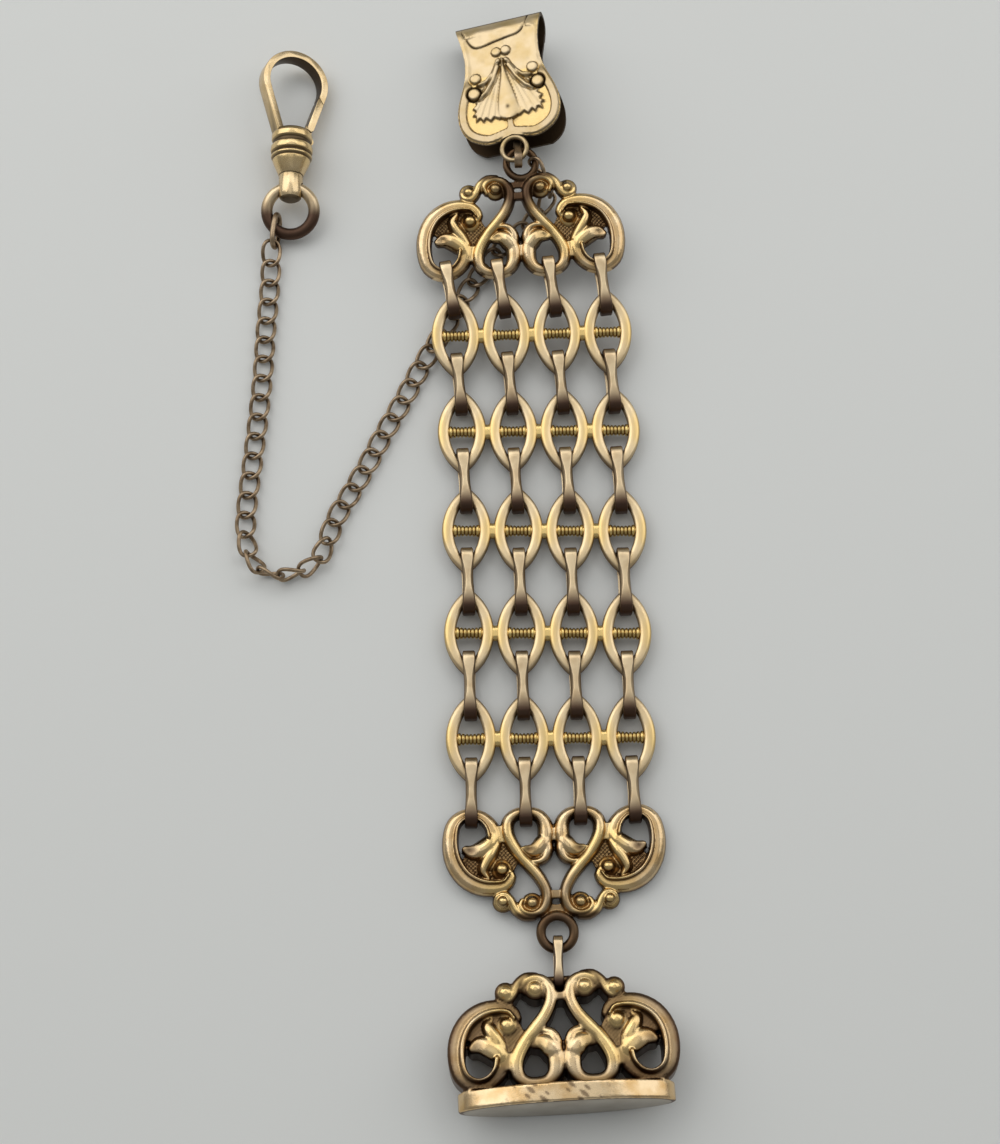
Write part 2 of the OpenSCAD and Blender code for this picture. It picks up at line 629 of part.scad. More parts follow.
// The chain's route, chosen by eye: x, y, height of its underside and roll of the links, from
// the top plate's eye round to the ring of the clasp.
CHAIN_ROUTE = [
    [1.6, 44.6, 2.9, 90],
    [2.3, 43.8, 2.1, 80],
    [2.6, 42.7, 0.8, 55],
    [2.0, 40.9, 0.40, 25],
    [0.3, 39.1, 0.16, 0],
    [-1.4, 37.6, 0.03, 0],
    [-3.4, 35.9, 0.03, 0],
    [-5.6, 33.3, 0.03, 0],
    [-7.5, 30.7, 0.03, 0],
    [-9.4, 27.6, 0.03, 0],
    [-11.4, 24.4, 0.03, 0],
    [-13.4, 21.2, 0.03, 0],
    [-15.3, 17.7, 0.03, 0],
    [-16.9, 14.9, 0.03, 0],
    [-18.3, 12.5, 0.03, 0],
    [-19.5, 10.2, 0.03, 0],
    [-21.0, 7.6, 0.03, 0],
    [-22.3, 5.4, 0.03, 0],
    [-23.6, 3.3, 0.08, 0],
    [-24.5, 1.2, 0.20, -5],
    [-25.2, -0.9, 0.30, -30],
    [-26.6, -2.9, 0.34, -60],
    [-28.9, -3.9, 0.12, -80],
    [-31.4, -3.9, 0.12, -100],
    [-33.3, -2.6, 0.34, -125],
    [-34.2, -0.3, 0.34, -150],
    [-34.4, 2.3, 0.20, -175],
    [-34.2, 5.1, 0.03, -180],
    [-33.5, 10.3, 0.03, -180],
    [-32.8, 15.6, 0.03, -180],
    [-32.2, 21.0, 0.03, -180],
    [-31.8, 26.3, 0.03, -180],
    [-31.3, 31.4, 0.03, -180],
    [-31.1, 34.0, 0.20, -180],
    [-30.95, 36.2, 0.72, -180]];
// Half the height of the chain at a given roll of its links
function link_rise(roll) = link_w*(0.225 + 0.29*pow(sin(roll), 2));
ROUTE = curve([for (q = CHAIN_ROUTE) [q[0], q[1], q[2] + link_rise(q[3]), q[3]]], 6);
function xyz(q) = [q[0], q[1], q[2]];
RUN = [for (i = 0, s = 0; i < len(ROUTE);
    s = s + (i + 1 < len(ROUTE) ? norm(xyz(ROUTE[i + 1]) - xyz(ROUTE[i])) : 0), i = i + 1) s];
function find_step(s, i) = i >= len(RUN) - 2 || RUN[i + 1] >= s ? i : find_step(s, i + 1);
function on_route(s) = let (i = find_step(s, 0), k = (s - RUN[i])/(RUN[i + 1] - RUN[i]))
    ROUTE[i] + (ROUTE[i + 1] - ROUTE[i])*k;
chain_len = RUN[len(RUN) - 1];
chain_links = round(chain_len/chain_pitch) + 1;
chain_step = chain_len/(chain_links - 1);

link_sides = 12;
wire_sides = 5;
function unit(v) = v/norm(v);
// Centre line of a link's wire at the angle a: a long oval along x, twisted about x.
function loop_line(a, l, w, twist) = let (c = cos(a), s = sin(a),
        x = l/2*sign(c)*pow(abs(c), 0.77), r = w/2*sign(s)*pow(abs(s), 0.77), t = twist*x)
    [x, r*cos(t), r*sin(t)];
function loop_points(l, w, twist, d, n, k) = [for (i = [0:n - 1])
    let (a = 360*(i + 0.5)/n, p = loop_line(a, l - d, w - d, twist),
         f = unit(loop_line(a + 4, l - d, w - d, twist)
            - loop_line(a - 4, l - d, w - d, twist)),
         u = unit(cross(f, cross(p, f))), v = cross(f, u))
    for (j = [0:k - 1]) p + (u*cos(360*j/k) + v*sin(360*j/k))*d/2];
function loop_faces(n, k) = [for (i = [0:n - 1]) for (j = [0:k - 1])
    let (i2 = (i + 1)%n, j2 = (j + 1)%k)
    for (f = [[i*k + j, i2*k + j, i2*k + j2], [i*k + j, i2*k + j2, i*k + j2]]) f];
link_shape = loop_points(link_l, link_w, link_twist/chain_pitch, chain_wire,
    link_sides, wire_sides);
link_faces = loop_faces(link_sides, wire_sides);

module watch_chain() {
    size = link_sides*wire_sides;
    placed_links = [for (i = [0:chain_links - 1])
        let (s = i*chain_step, q = on_route(s),
             x = unit(xyz(on_route(min(chain_len, s + 1))) - xyz(on_route(max(0, s - 1)))),
             side = unit(cross([0, 0, 1], x)), up = cross(x, side),
             y = side*cos(q[3]) + up*sin(q[3]), z = up*cos(q[3]) - side*sin(q[3]))
        for (p = link_shape) xyz(q) + x*p[0] + y*p[1] + z*p[2]];
    faces = [for (i = [0:chain_links - 1]) for (f = link_faces) [for (v = f) v + i*size]];
    color(dark_wire) placed() polyhedron(placed_links, faces, convexity = 10);
}

// The clasp, drawn along Y from the ring's hole, which is at its origin.
chain_end = CHAIN_ROUTE[len(CHAIN_ROUTE) - 1];
ring_mid = (swivel_ring_d - swivel_wire)/2;
axis_z = collar_d/2 + 0.06;
clasp_at = [chain_end[0] + 2.55, chain_end[1] + 8.2, axis_z];
// The ring at the foot of the clasp lies on the lower arm of the chain's end ring.
end_wire = swivel_wire*0.43;
end_w = 2*end_wire + swivel_wire + 0.32;
end_z = end_w/2 + 0.03;
end_angle = 235;
ring_drop = 0.3;
ring_tilt = asin((axis_z - end_z)/(ring_mid*(1 - sin(end_angle)) + ring_drop));
stem_foot = -2;
seam_y = 1.1;
neck_y = 3.05;
collar_y = 6.9;
arc_y = clasp_l - hook_w/2;
hook_mid = (hook_w - hook_t)/2;
foot_x = 1.72;
foot_len = arc_y - collar_y + 0.35;
foot_d = sqrt(pow(foot_x, 2) + pow(foot_len, 2));
leg_turn = atan(foot_len/foot_x) - acos(hook_mid/foot_d);
leg_len = sqrt(pow(foot_d, 2) - pow(hook_mid, 2));
gate_cut = 0.75;
pivot_r = 0.62;
pivot_x = collar_d/2 - pivot_r + 0.05;
pivot_y = collar_y - 0.85;
pin_r = 0.26;

module ring_at_foot(d) {
    rotate([ring_tilt, 0, 0]) translate([0, -ring_mid - ring_drop, 0])
        rotate_extrude() translate([ring_mid, 0]) circle(d = d);
}

// The ring at the chain's end stands round the wire of the clasp's ring.
end_at = clasp_at + turned([ring_mid*cos(end_angle),
    -ring_drop - ring_mid*(1 - sin(end_angle))*cos(ring_tilt), 0], [0, 0, clasp_turn]);
end_l = 4.5*end_w/2.8;
module chain_ring() {
    color(dark_wire) placed() translate([end_at[0] - 0.1, end_at[1] - 0.1, end_z])
        rotate([0, 0, 82]) rotate([80, 0, 0])
            polyhedron(loop_points(end_l, end_w, 0, end_wire, 20, 8), loop_faces(20, 8));
}

module swivel_ring() {
    color(brown_gold) placed() translate(clasp_at) rotate([0, 0, clasp_turn])
        ring_at_foot(swivel_wire);
}

// The stem: a rounded foot with a curved hole for the ring, and a peg with a head.
module swivel_stem() {
    color(pale_gold) placed() translate(clasp_at) rotate([0, 0, clasp_turn]) difference() {
        rotate([-90, 0, 0]) rotate_extrude() polygon([
            [0, stem_foot], [stem_d*0.3, stem_foot], [stem_d*0.44, stem_foot + 0.25],
            [stem_d/2, stem_foot + 0.8], [stem_d/2, seam_y], [peg_d/2, seam_y],
            [peg_d/2, neck_y], [peg_d*0.72, neck_y], [peg_d*0.72, neck_y + 0.6],
            [0, neck_y + 0.6]]);
        ring_at_foot(swivel_wire + 0.3);
    }
}

// The hook's body: a cone, a thin bead, a groove and two collars, bored for the peg.
module hook_body() {
    cr = collar_d/2;
    sr = stem_d/2;
    g = run_gap;
    y0 = seam_y + g;
    rotate([-90, 0, 0]) rotate_extrude() polygon([
        [peg_d/2 + g, y0], [sr*1.02, y0], [cr*0.84, 2.7], [cr*0.9, 3.1], [cr*0.86, 3.3],
        [cr*0.97, 3.5], [cr*0.97, 3.7], [cr*0.86, 3.85], [cr*0.86, 4.0], [cr*0.98, 4.2],
        [cr, 4.5], [cr*0.98, 4.95], [cr*0.86, 5.15], [cr*0.85, 5.55], [cr*0.96, 5.8],
        [cr*0.97, 6.4], [cr*0.86, collar_y],
        [0, collar_y], [0, neck_y + 0.6 + g], [peg_d*0.72 + g, neck_y + 0.6 + g],
        [peg_d*0.72 + g, neck_y - g], [peg_d/2 + g, neck_y - g]]);
}

module strip_bar(l) {
    translate([-hook_t/2, 0, -hook_band/2]) cube([hook_t, l, hook_band]);
}

// Moves children to the right-hand tangent point of the hook's arc, pointing to the foot.
module right_leg() {
    translate([0, arc_y, 0]) rotate([0, 0, -leg_turn]) translate([hook_mid, 0, 0])
        rotate([0, 0, 180]) children();
}

module hook_arc() {
    translate([0, arc_y, 0]) rotate([0, 0, -leg_turn])
        rotate_extrude(angle = 180 + 2*leg_turn)
            translate([hook_mid - hook_t/2, -hook_band/2]) square([hook_t, hook_band]);
}

// The slanted cut between the hook's end and the gate: longer outside on the hook.
module past_cut(gap) {
    right_leg() translate([0, gate_cut + gap, 0]) rotate([0, 0, -40])
        translate([-3, 0, -hook_band]) cube([6, 12, 2*hook_band]);
}

module swivel_hook() {
    color(pale_gold) placed() translate(clasp_at) rotate([0, 0, clasp_turn])
        rotate([0, hook_roll, 0]) {
            difference() {
                union() {
                    hook_body();
                    hook_arc();
                    mirror([1, 0, 0]) right_leg() strip_bar(leg_len);
                    right_leg() strip_bar(gate_cut + 1.2);
                }
                intersection() {
                    past_cut(0);
                    translate([0, collar_y + 1.5, -hook_band]) cube([hook_w, 9, 2*hook_band]);
                }
                // Slot for the gate's knuckle, open at the top and inwards
                translate([pivot_x - pivot_r - 1.05, pivot_y - pivot_r - 0.12, -0.55])
                    cube([hook_w, 4, 1.1]);
            }
            translate([pivot_x, pivot_y, -0.75]) cylinder(r = pin_r, h = 1.5);
        }
}

// The gate swings in by this much before its lower end meets the collar.
gate_swing = 30;
module above_collar(turn) {
    translate([pivot_x, pivot_y, 0]) rotate([0, 0, -turn])
        translate([-pivot_x, collar_y + 0.12 - pivot_y, -hook_band])
            cube([hook_w, 9, 2*hook_band]);
}

module gate() {
    color(pale_gold) placed() translate(clasp_at) rotate([0, 0, clasp_turn])
        rotate([0, hook_roll, 0]) difference() {
            union() {
                translate([pivot_x, pivot_y, -0.45]) cylinder(r = pivot_r, h = 0.9);
                intersection() {
                    right_leg() strip_bar(leg_len - 0.15);
                    past_cut(run_gap);
                    above_collar(0);
                    above_collar(gate_swing);
                }
                translate([pivot_x - hook_t*0.5, pivot_y, -0.45])
                    cube([hook_t*0.9, collar_y + 1.1 - pivot_y, 0.9]);
            }
            translate([pivot_x, pivot_y, -1]) cylinder(r = pin_r + run_gap, h = 2);
        }
}

// The middle of the whole piece, which is moved onto the origin.
chain_left = min([for (q = CHAIN_ROUTE) q[0]]) - link_w*0.5;
band_right = low_lay[0][0] + 1.95*col_pitch + scroll_w/2;
clip_top = max([for (side = [-1, 1])
    at(clip_place, [side*CLIP_OUTLINE[0][1]*clip_w, clip_l, 0])[1]]);
base_foot = fob_at[1] - base_h*cos(fob_tilt)
    - norm([base_w/2*sin(fob_turn), base_d/2*sin(fob_tilt)]);
middle = [(chain_left + band_right)/2, (clip_top + base_foot)/2, 0];

module placed() {
    translate(-middle) children();
}

waist_clip();
clip_ring();
top_plate();
link_row(1);  // link_row_1
link_row(2);  // link_row_2
link_row(3);  // link_row_3
link_row(4);  // link_row_4
link_row(5);  // link_row_5
connector(1, 1);  // connector_r1_c1
connector(1, 2);  // connector_r1_c2
connector(1, 3);  // connector_r1_c3
connector(1, 4);  // connector_r1_c4
connector(2, 1);  // connector_r2_c1
connector(2, 2);  // connector_r2_c2
connector(2, 3);  // connector_r2_c3
connector(2, 4);  // connector_r2_c4
connector(3, 1);  // connector_r3_c1
connector(3, 2);  // connector_r3_c2
connector(3, 3);  // connector_r3_c3
connector(3, 4);  // connector_r3_c4
connector(4, 1);  // connector_r4_c1
connector(4, 2);  // connector_r4_c2
connector(4, 3);  // connector_r4_c3
connector(4, 4);  // connector_r4_c4
connector(5, 1);  // connector_r5_c1
connector(5, 2);  // connector_r5_c2
connector(5, 3);  // connector_r5_c3
connector(5, 4);  // connector_r5_c4
connector(6, 1);  // connector_r6_c1
connector(6, 2);  // connector_r6_c2
connector(6, 3);  // connector_r6_c3
connector(6, 4);  // connector_r6_c4
bottom_plate();
fob_link();
fob_mount();
seal_plate();
watch_chain();
chain_ring();
swivel_ring();
swivel_stem();
swivel_hook();
gate();
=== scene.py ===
# %% [markdown]
# # A chatelaine, laid flat
# A waist chatelaine is worn hanging from a belt: a stamped clip at the top, a band of small
# links below it, a seal at the foot, and a side chain for a watch. The CAD model gives every
# place and size. This script gives each piece its real edges, ornament and metal.
# The pieces are small, so they are modelled in millimetres and turned into metres at the end.

# %% Start
import json
from math import acos, asin, atan2, cos, degrees, exp, hypot, pi, radians, sin, sqrt

import bmesh
import bpy
import numpy as np
from mathutils import Euler, Matrix, Vector


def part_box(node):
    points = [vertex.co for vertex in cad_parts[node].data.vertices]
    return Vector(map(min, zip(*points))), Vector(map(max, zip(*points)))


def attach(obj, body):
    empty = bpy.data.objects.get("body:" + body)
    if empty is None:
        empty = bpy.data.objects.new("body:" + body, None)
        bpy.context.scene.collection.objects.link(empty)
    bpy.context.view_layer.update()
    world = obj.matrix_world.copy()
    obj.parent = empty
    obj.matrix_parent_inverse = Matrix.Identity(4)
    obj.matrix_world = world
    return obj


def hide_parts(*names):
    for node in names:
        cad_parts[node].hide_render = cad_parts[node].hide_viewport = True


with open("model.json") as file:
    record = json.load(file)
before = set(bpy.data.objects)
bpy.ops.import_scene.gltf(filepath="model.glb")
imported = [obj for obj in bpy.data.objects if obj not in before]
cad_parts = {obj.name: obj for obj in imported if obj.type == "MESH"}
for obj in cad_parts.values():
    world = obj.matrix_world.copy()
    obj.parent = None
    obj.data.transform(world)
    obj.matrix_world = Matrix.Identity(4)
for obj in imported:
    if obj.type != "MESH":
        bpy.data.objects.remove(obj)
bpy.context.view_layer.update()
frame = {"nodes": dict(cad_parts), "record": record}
MM = 0.001
record = frame["record"]


def middle_of(node):
    """The middle of a CAD node's box in mm."""
    low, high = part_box(node)
    return (low + high) / 2 / MM


# The CAD model is drawn about the middle of the third row and then moved to its own centre.
COL_PITCH, ROW_PITCH = 6.0, 12.24
ROW3_ASIDE = 0.035 * COL_PITCH
row3 = middle_of("link_row_3")
SHIFT = Vector((row3.x - ROW3_ASIDE, row3.y, 0))
print("nodes:", len(frame["nodes"]), "shift:", [round(c, 3) for c in SHIFT])

# %% [markdown]
# ## Camera
# The photograph was taken from above, a little from the foot of the piece. The camera could be
# set by eye, but a small error tilts every row, so it was found by matching the rows of ovals
# and the seal's base.

# %% Camera
CAMERA_FROM = Vector((-7.98, -76.5, 252.05))
CAMERA_AT = Vector((-5.09, -4.34, 0.0))
LENS, SENSOR = 71.2, 36.0

camera_data = bpy.data.cameras.new("camera")
camera_data.lens = LENS
camera_data.sensor_width = SENSOR
camera_data.sensor_fit = "AUTO"
camera_data.clip_start = 0.01
camera_data.clip_end = 20
camera = bpy.data.objects.new("camera", camera_data)
bpy.context.scene.collection.objects.link(camera)
camera.location = (CAMERA_FROM + SHIFT) * MM
camera.rotation_euler = (CAMERA_AT - CAMERA_FROM).to_track_quat("-Z", "Y").to_euler()
bpy.context.scene.camera = camera
print("camera is", round((CAMERA_AT - CAMERA_FROM).length), "mm from the band")

# %% [markdown]
# ## Light
# Gilt metal shows mostly what it mirrors. One strong lamp would give hard white spots that the
# photograph doesn't have, so four large soft boxes stand round the piece under a grey sky.

# %% Light
# Name, place in mm, size in mm and watts; all aim at the middle of the piece.
LAMPS = (("light_left", (-420, 300, 420), (520, 700), 1.62),
         ("light_right", (460, 200, 360), (400, 600), 0.78),
         ("light_back", (60, 420, 520), (600, 300), 0.70),
         ("light_above", (0, 60, 650), (400, 400), 0.26))
SKY, SKY_STRENGTH = (0.80, 0.82, 0.82, 1), 0.33


def soft_box(name, place, size, watts):
    """A soft rectangular lamp that looks at the piece."""
    data = bpy.data.lights.new(name, "AREA")
    data.shape = "RECTANGLE"
    data.size, data.size_y = size[0] * MM, size[1] * MM
    data.energy = watts
    lamp = bpy.data.objects.new(name, data)
    bpy.context.scene.collection.objects.link(lamp)
    lamp.location = Vector(place) * MM
    lamp.rotation_euler = (-Vector(place)).to_track_quat("-Z", "Y").to_euler()


for lamp in LAMPS:
    soft_box(*lamp)

world = bpy.data.worlds.new("studio")
bpy.context.scene.world = world
world.use_nodes = True
sky = world.node_tree.nodes["Background"]
sky.inputs["Color"].default_value = SKY
sky.inputs["Strength"].default_value = SKY_STRENGTH
bpy.context.scene.view_settings.view_transform = "Standard"
print("lights:", len(LAMPS))

# %% [markdown]
# ## Table
# The photograph shows only pale paper. A plane would do for this one view, but its far edge
# would show in low views, so a line is pulled along the table, spun up through a quarter turn
# and pulled on as a wall.

# %% Table
TABLE_HALF, TABLE_NEAR, TABLE_FAR = 1500.0, -1200.0, 1500.0
TABLE_BEND, TABLE_WALL = 300.0, 1200.0
PAPER, PAPER_ROUGH, PAPER_SHINE = (0.80, 0.805, 0.78, 1), 0.55, 0.3
VERT, EDGE, FACE = bmesh.types.BMVert, bmesh.types.BMEdge, bmesh.types.BMFace

sheet = bmesh.new()
edge = [sheet.verts.new((x, TABLE_NEAR, 0)) for x in (-TABLE_HALF, TABLE_HALF)]
edge = [sheet.edges.new(edge)]


def only(kind, geom):
    """The verts, edges or faces of a mixed list."""
    return [g for g in geom if isinstance(g, kind)]


def pull(bm, edges, matrix=None, by=(0, 0, 0)):
    """Extrudes edges and moves the new ones; returns the new edges."""
    new = bmesh.ops.extrude_edge_only(bm, edges=edges)["geom"]
    verts = only(VERT, new)
    if matrix is not None:
        bmesh.ops.transform(bm, matrix=matrix, verts=verts)
    bmesh.ops.translate(bm, vec=by, verts=verts)
    return only(EDGE, new)


edge = pull(sheet, edge, by=(0, TABLE_FAR - TABLE_NEAR, 0))
bmesh.ops.spin(sheet, geom=edge + list({v for e in edge for v in e.verts}), angle=pi / 2,
               cent=(0, TABLE_FAR, TABLE_BEND), axis=(1, 0, 0), steps=16, use_merge=False)
top = [e for e in sheet.edges if all(v.co.z > TABLE_BEND - 1e-3 for v in e.verts)]
pull(sheet, top, by=(0, 0, TABLE_WALL))
bmesh.ops.recalc_face_normals(sheet, faces=sheet.faces)
if sum(f.normal.z for f in sheet.faces) < 0:
    bmesh.ops.reverse_faces(sheet, faces=sheet.faces)
bmesh.ops.scale(sheet, vec=(MM, MM, MM), verts=sheet.verts)
table_mesh = bpy.data.meshes.new("table")
sheet.to_mesh(table_mesh)
table_mesh.polygons.foreach_set("use_smooth", [True] * len(table_mesh.polygons))
table = bpy.data.objects.new("table", table_mesh)
bpy.context.scene.collection.objects.link(table)

paper = bpy.data.materials.new("table_paper")
paper.use_nodes = True
paper_shader = paper.node_tree.nodes["Principled BSDF"]
paper_shader.inputs["Base Color"].default_value = PAPER
paper_shader.inputs["Roughness"].default_value = PAPER_ROUGH
paper_shader.inputs["Specular IOR Level"].default_value = PAPER_SHINE
table_mesh.materials.append(paper)
print("table faces:", len(table_mesh.polygons))

# %% [markdown]
# ## Gilt, worn and tarnished, with painted shade
# All of it is brass with a thin layer of gold. Where fingers rub it is pale and smooth; in
# the hollows the gold keeps its yellow and gathers brown tarnish; on rings that rub each other
# the gold is gone and the brass is brown. One recipe makes all of these: a pale colour on
# the open faces, a deeper one in the hollows found by the occlusion of nearby metal, which also
# darkens them as painted shade, soft cloudy patches, and a fine grain in the gloss. Two values
# stored on the points, dark and yellow, say where a piece is browner or yellower than its
# hollows alone would make it; dark also carries painted shade on flanks, ends and in hollows.

# %% Metal recipe
def gilt(name, pale, deep, dark, rough=0.3, reach=0.7, hollow=(0.35, 0.85), cloud=0.35,
         cloud_size=2.2, grain=0.12, grain_size=0.16, dent=0.02, yellow=(0.84, 0.60, 0.24)):
    """pale, deep and dark are colours for faces, hollows, and dirt with painted shade; lengths are
    in mm.
    """
    metal = bpy.data.materials.new(name)
    metal.use_nodes = True
    tree = metal.node_tree
    shader = tree.nodes["Principled BSDF"]
    shader.inputs["Metallic"].default_value = 1.0

    def node(kind, **inputs):
        made = tree.nodes.new(kind)
        for key, value in inputs.items():
            made.inputs[key.replace("_", " ")].default_value = value
        return made

    def link(out, into):
        tree.links.new(out, into)

    def blend(factor, a, b):
        mix = tree.nodes.new("ShaderNodeMix")
        mix.data_type = "RGBA"
        mix.clamp_factor = True
        for socket, value in ((mix.inputs["Factor"], factor), (mix.inputs[6], a),
                              (mix.inputs[7], b)):
            if isinstance(value, (tuple, float)):
                socket.default_value = (*value, 1) if isinstance(value, tuple) else value
            else:
                link(value, socket)
        return mix.outputs[2]

    def calc(kind, *values):
        made = tree.nodes.new("ShaderNodeMath")
        made.operation = kind
        for socket, value in zip(made.inputs, values):
            if isinstance(value, (int, float)):
                socket.default_value = value
            else:
                link(value, socket)
        return made.outputs["Value"]

    def painted(key):
        made = tree.nodes.new("ShaderNodeAttribute")
        made.attribute_name = key
        return made.outputs["Fac"]

    def span(value, low, high, to_low=0.0, to_high=1.0):
        ranged = node("ShaderNodeMapRange")
        link(value, ranged.inputs["Value"])
        for key, number in (("From Min", low), ("From Max", high), ("To Min", to_low),
                            ("To Max", to_high)):
            ranged.inputs[key].default_value = number
        return ranged.outputs["Result"]

    place = tree.nodes.new("ShaderNodeTexCoord").outputs["Object"]
    clouds = node("ShaderNodeTexNoise", Scale=1 / (cloud_size * MM), Detail=4.0)
    link(place, clouds.inputs["Vector"])
    grains = node("ShaderNodeTexNoise", Scale=1 / (grain_size * MM), Detail=3.0)
    link(place, grains.inputs["Vector"])
    shade = node("ShaderNodeAmbientOcclusion", Distance=reach * MM)
    shade.samples = 8

    # Painted shade: the occlusion of nearby metal gives the hollows the deeper colour here and
    # darkens them below.
    open_face = span(shade.outputs["AO"], *hollow)
    cloudy = span(clouds.outputs["Fac"], 0.42, 0.68, 0.0, cloud)
    body = blend(painted("yellow"), blend(cloudy, pale, deep), yellow)
    rubbed_and_shaded = blend(open_face, deep, body)
    # Painted shade from occlusion, joined with the stored dark values, which hold painted shade and
    # stains.
    shade_and_dirt = calc("MAXIMUM", span(shade.outputs["AO"], hollow[0] * 0.35, hollow[0] * 1.25, 1.0, 0.0),
                painted("dark"))
    link(blend(shade_and_dirt, rubbed_and_shaded, dark), shader.inputs["Base Color"])

    gloss = calc("MULTIPLY_ADD", grains.outputs["Fac"], grain, rough - grain / 2)
    link(calc("MULTIPLY_ADD", shade_and_dirt, 0.15, gloss), shader.inputs["Roughness"])

    bump = node("ShaderNodeBump", Strength=0.35, Distance=dent * MM)
    link(grains.outputs["Fac"], bump.inputs["Height"])
    link(bump.outputs["Normal"], shader.inputs["Normal"])
    return metal


# %% Metals
SATIN_GILT = gilt("satin_gilt", (0.82, 0.645, 0.40), (0.68, 0.48, 0.23), (0.14, 0.08, 0.04),
                  rough=0.34, reach=0.9, cloud=0.45)
CLASP_GILT = gilt("clasp_gilt", (0.76, 0.58, 0.34), (0.60, 0.42, 0.20), (0.06, 0.04, 0.025),
                  rough=0.26, reach=0.9, cloud=0.7, cloud_size=1.6)
YELLOW_GILT = gilt("yellow_gilt", (0.92, 0.70, 0.28), (0.66, 0.40, 0.10), (0.16, 0.08, 0.02),
                   rough=0.22, reach=0.5)
CAST_GILT = gilt("cast_gilt", (0.80, 0.61, 0.37), (0.58, 0.36, 0.14), (0.07, 0.035, 0.02),
                 rough=0.23, reach=1.4, hollow=(0.55, 1.0), cloud=0.8)
BROWN_GILT = gilt("brown_gilt", (0.76, 0.60, 0.38), (0.58, 0.42, 0.24), (0.075, 0.04, 0.028),
                  rough=0.32, reach=0.9, cloud=0.7, cloud_size=1.4)
DARK_WIRE = gilt("dark_wire", (0.42, 0.31, 0.20), (0.18, 0.12, 0.07), (0.05, 0.032, 0.02),
                 rough=0.36, reach=0.8, cloud=0.9, cloud_size=0.9)
GREY_PLATE = gilt("grey_plate", (0.48, 0.44, 0.38), (0.38, 0.33, 0.27), (0.14, 0.11, 0.08),
                  rough=0.42, reach=0.6, cloud=0.7, cloud_size=3.0)
SLOT_METAL = {"pale_gilt": SATIN_GILT, "cast_gilt": CAST_GILT, "worn_brown_gilt": BROWN_GILT,
              "darkened_wire": DARK_WIRE, "grey_plate": GREY_PLATE}
print("metals by slot:", sorted(SLOT_METAL))

# %% [markdown]
# ## Helpers for bars, strips and wire
# Nearly every piece is a bar bent along a line: an oval, a strip ring, a scroll, a wire link.
# Such a bar can be a curve with a bevel, or a section extruded from station to station.
# Stations were chosen, because each one can set its own width, height and tilt.

# %% Stations and bars
SEAM = 0.004


def station(point, along, up=(0, 0, 1), wide=1.0, high=1.0):
    """The place of a section: x across, y up, z along the bar."""
    w = Vector(along).normalized()
    u = Vector(up).cross(w).normalized()
    v = w.cross(u)
    return Matrix(((u.x * wide, v.x * high, w.x, point[0]), (u.y * wide, v.y * high, w.y, point[1]),
                   (u.z * wide, v.z * high, w.z, point[2]), (0, 0, 0, 1)))


def bar(bm, section, stations, closed=False, shape=None):
    """Extrudes a closed section through the stations; a closed bar joins its own start. shape
    changes a section's points at a station."""
    start = bmesh.ops.create_circle(bm, segments=len(section), radius=1)["verts"]
    for vert, (x, y) in zip(start, section):
        vert.co = (x, y, 0)
    edges = list({e for v in start for e in v.link_edges})
    bmesh.ops.transform(bm, matrix=stations[0], verts=start)
    first, last, before = list(edges), edges, stations[0]
    loops = [(0, list(start))]
    for k, here in enumerate(stations[1:] + ([stations[0]] if closed else [])):
        last = pull(bm, last, matrix=here @ before.inverted())
        loops.append(((k + 1) % len(stations), list({v for e in last for v in e.verts})))
        before = here
    if shape is not None:
        for k, verts in loops:
            for vert in verts:
                u, v, w = stations[k].inverted() @ vert.co
                vert.co = stations[k] @ Vector((*shape(u, v, k), w))
    end = {v for e in last for v in e.verts}
    if closed:
        bmesh.ops.remove_doubles(bm, verts=list(set(start) | end), dist=SEAM)
    else:
        bmesh.ops.edgeloop_fill(bm, edges=first)
        bmesh.ops.edgeloop_fill(bm, edges=last)


print("a closed bar is merged within", SEAM, "mm")

# %% Sections, places and curves
def rounded(sides, square=2.0, half_w=1.0, half_h=1.0):
    """A section between an ellipse (square = 2) and a rectangle (square = 5 and more)."""
    points = []
    for i in range(sides):
        a = 2 * pi * (i + 0.5) / sides
        c, s = cos(a), sin(a)
        points.append((half_w * (abs(c) ** (2 / square)) * (1 if c > 0 else -1),
                       half_h * (abs(s) ** (2 / square)) * (1 if s > 0 else -1)))
    return points


def placed(shift, turn=(0, 0, 0)):
    """The CAD model's way of placing: turn about X, then Y, then Z, then shift."""
    turned = Euler([radians(a) for a in turn], "XYZ").to_matrix().to_4x4()
    return Matrix.Translation(Vector(shift) + SHIFT) @ turned


def smooth_path(rows, steps):
    """A curve through all rows of a table, the same as the CAD model's."""
    def row(i):
        return rows[max(0, min(len(rows) - 1, i))]
    out = []
    for i in range(len(rows) - 1):
        for k in range(steps):
            s = k / steps
            out.append([0.5 * (2 * b + (c - a) * s + (2 * a - 5 * b + 4 * c - d) * s * s
                               + (3 * b - a - 3 * c + d) * s ** 3)
                        for a, b, c, d in zip(row(i - 1), row(i), row(i + 1), row(i + 2))])
    return out + [list(rows[-1])]


def step(value, low, high):
    """A smooth rise from 0 at low to 1 at high."""
    t = np.clip((value - low) / (high - low), 0, 1)
    return t * t * (3 - 2 * t)


print("sections: strip", len(rounded(16, 3.0)), "points, wire", len(rounded(14)), "points")

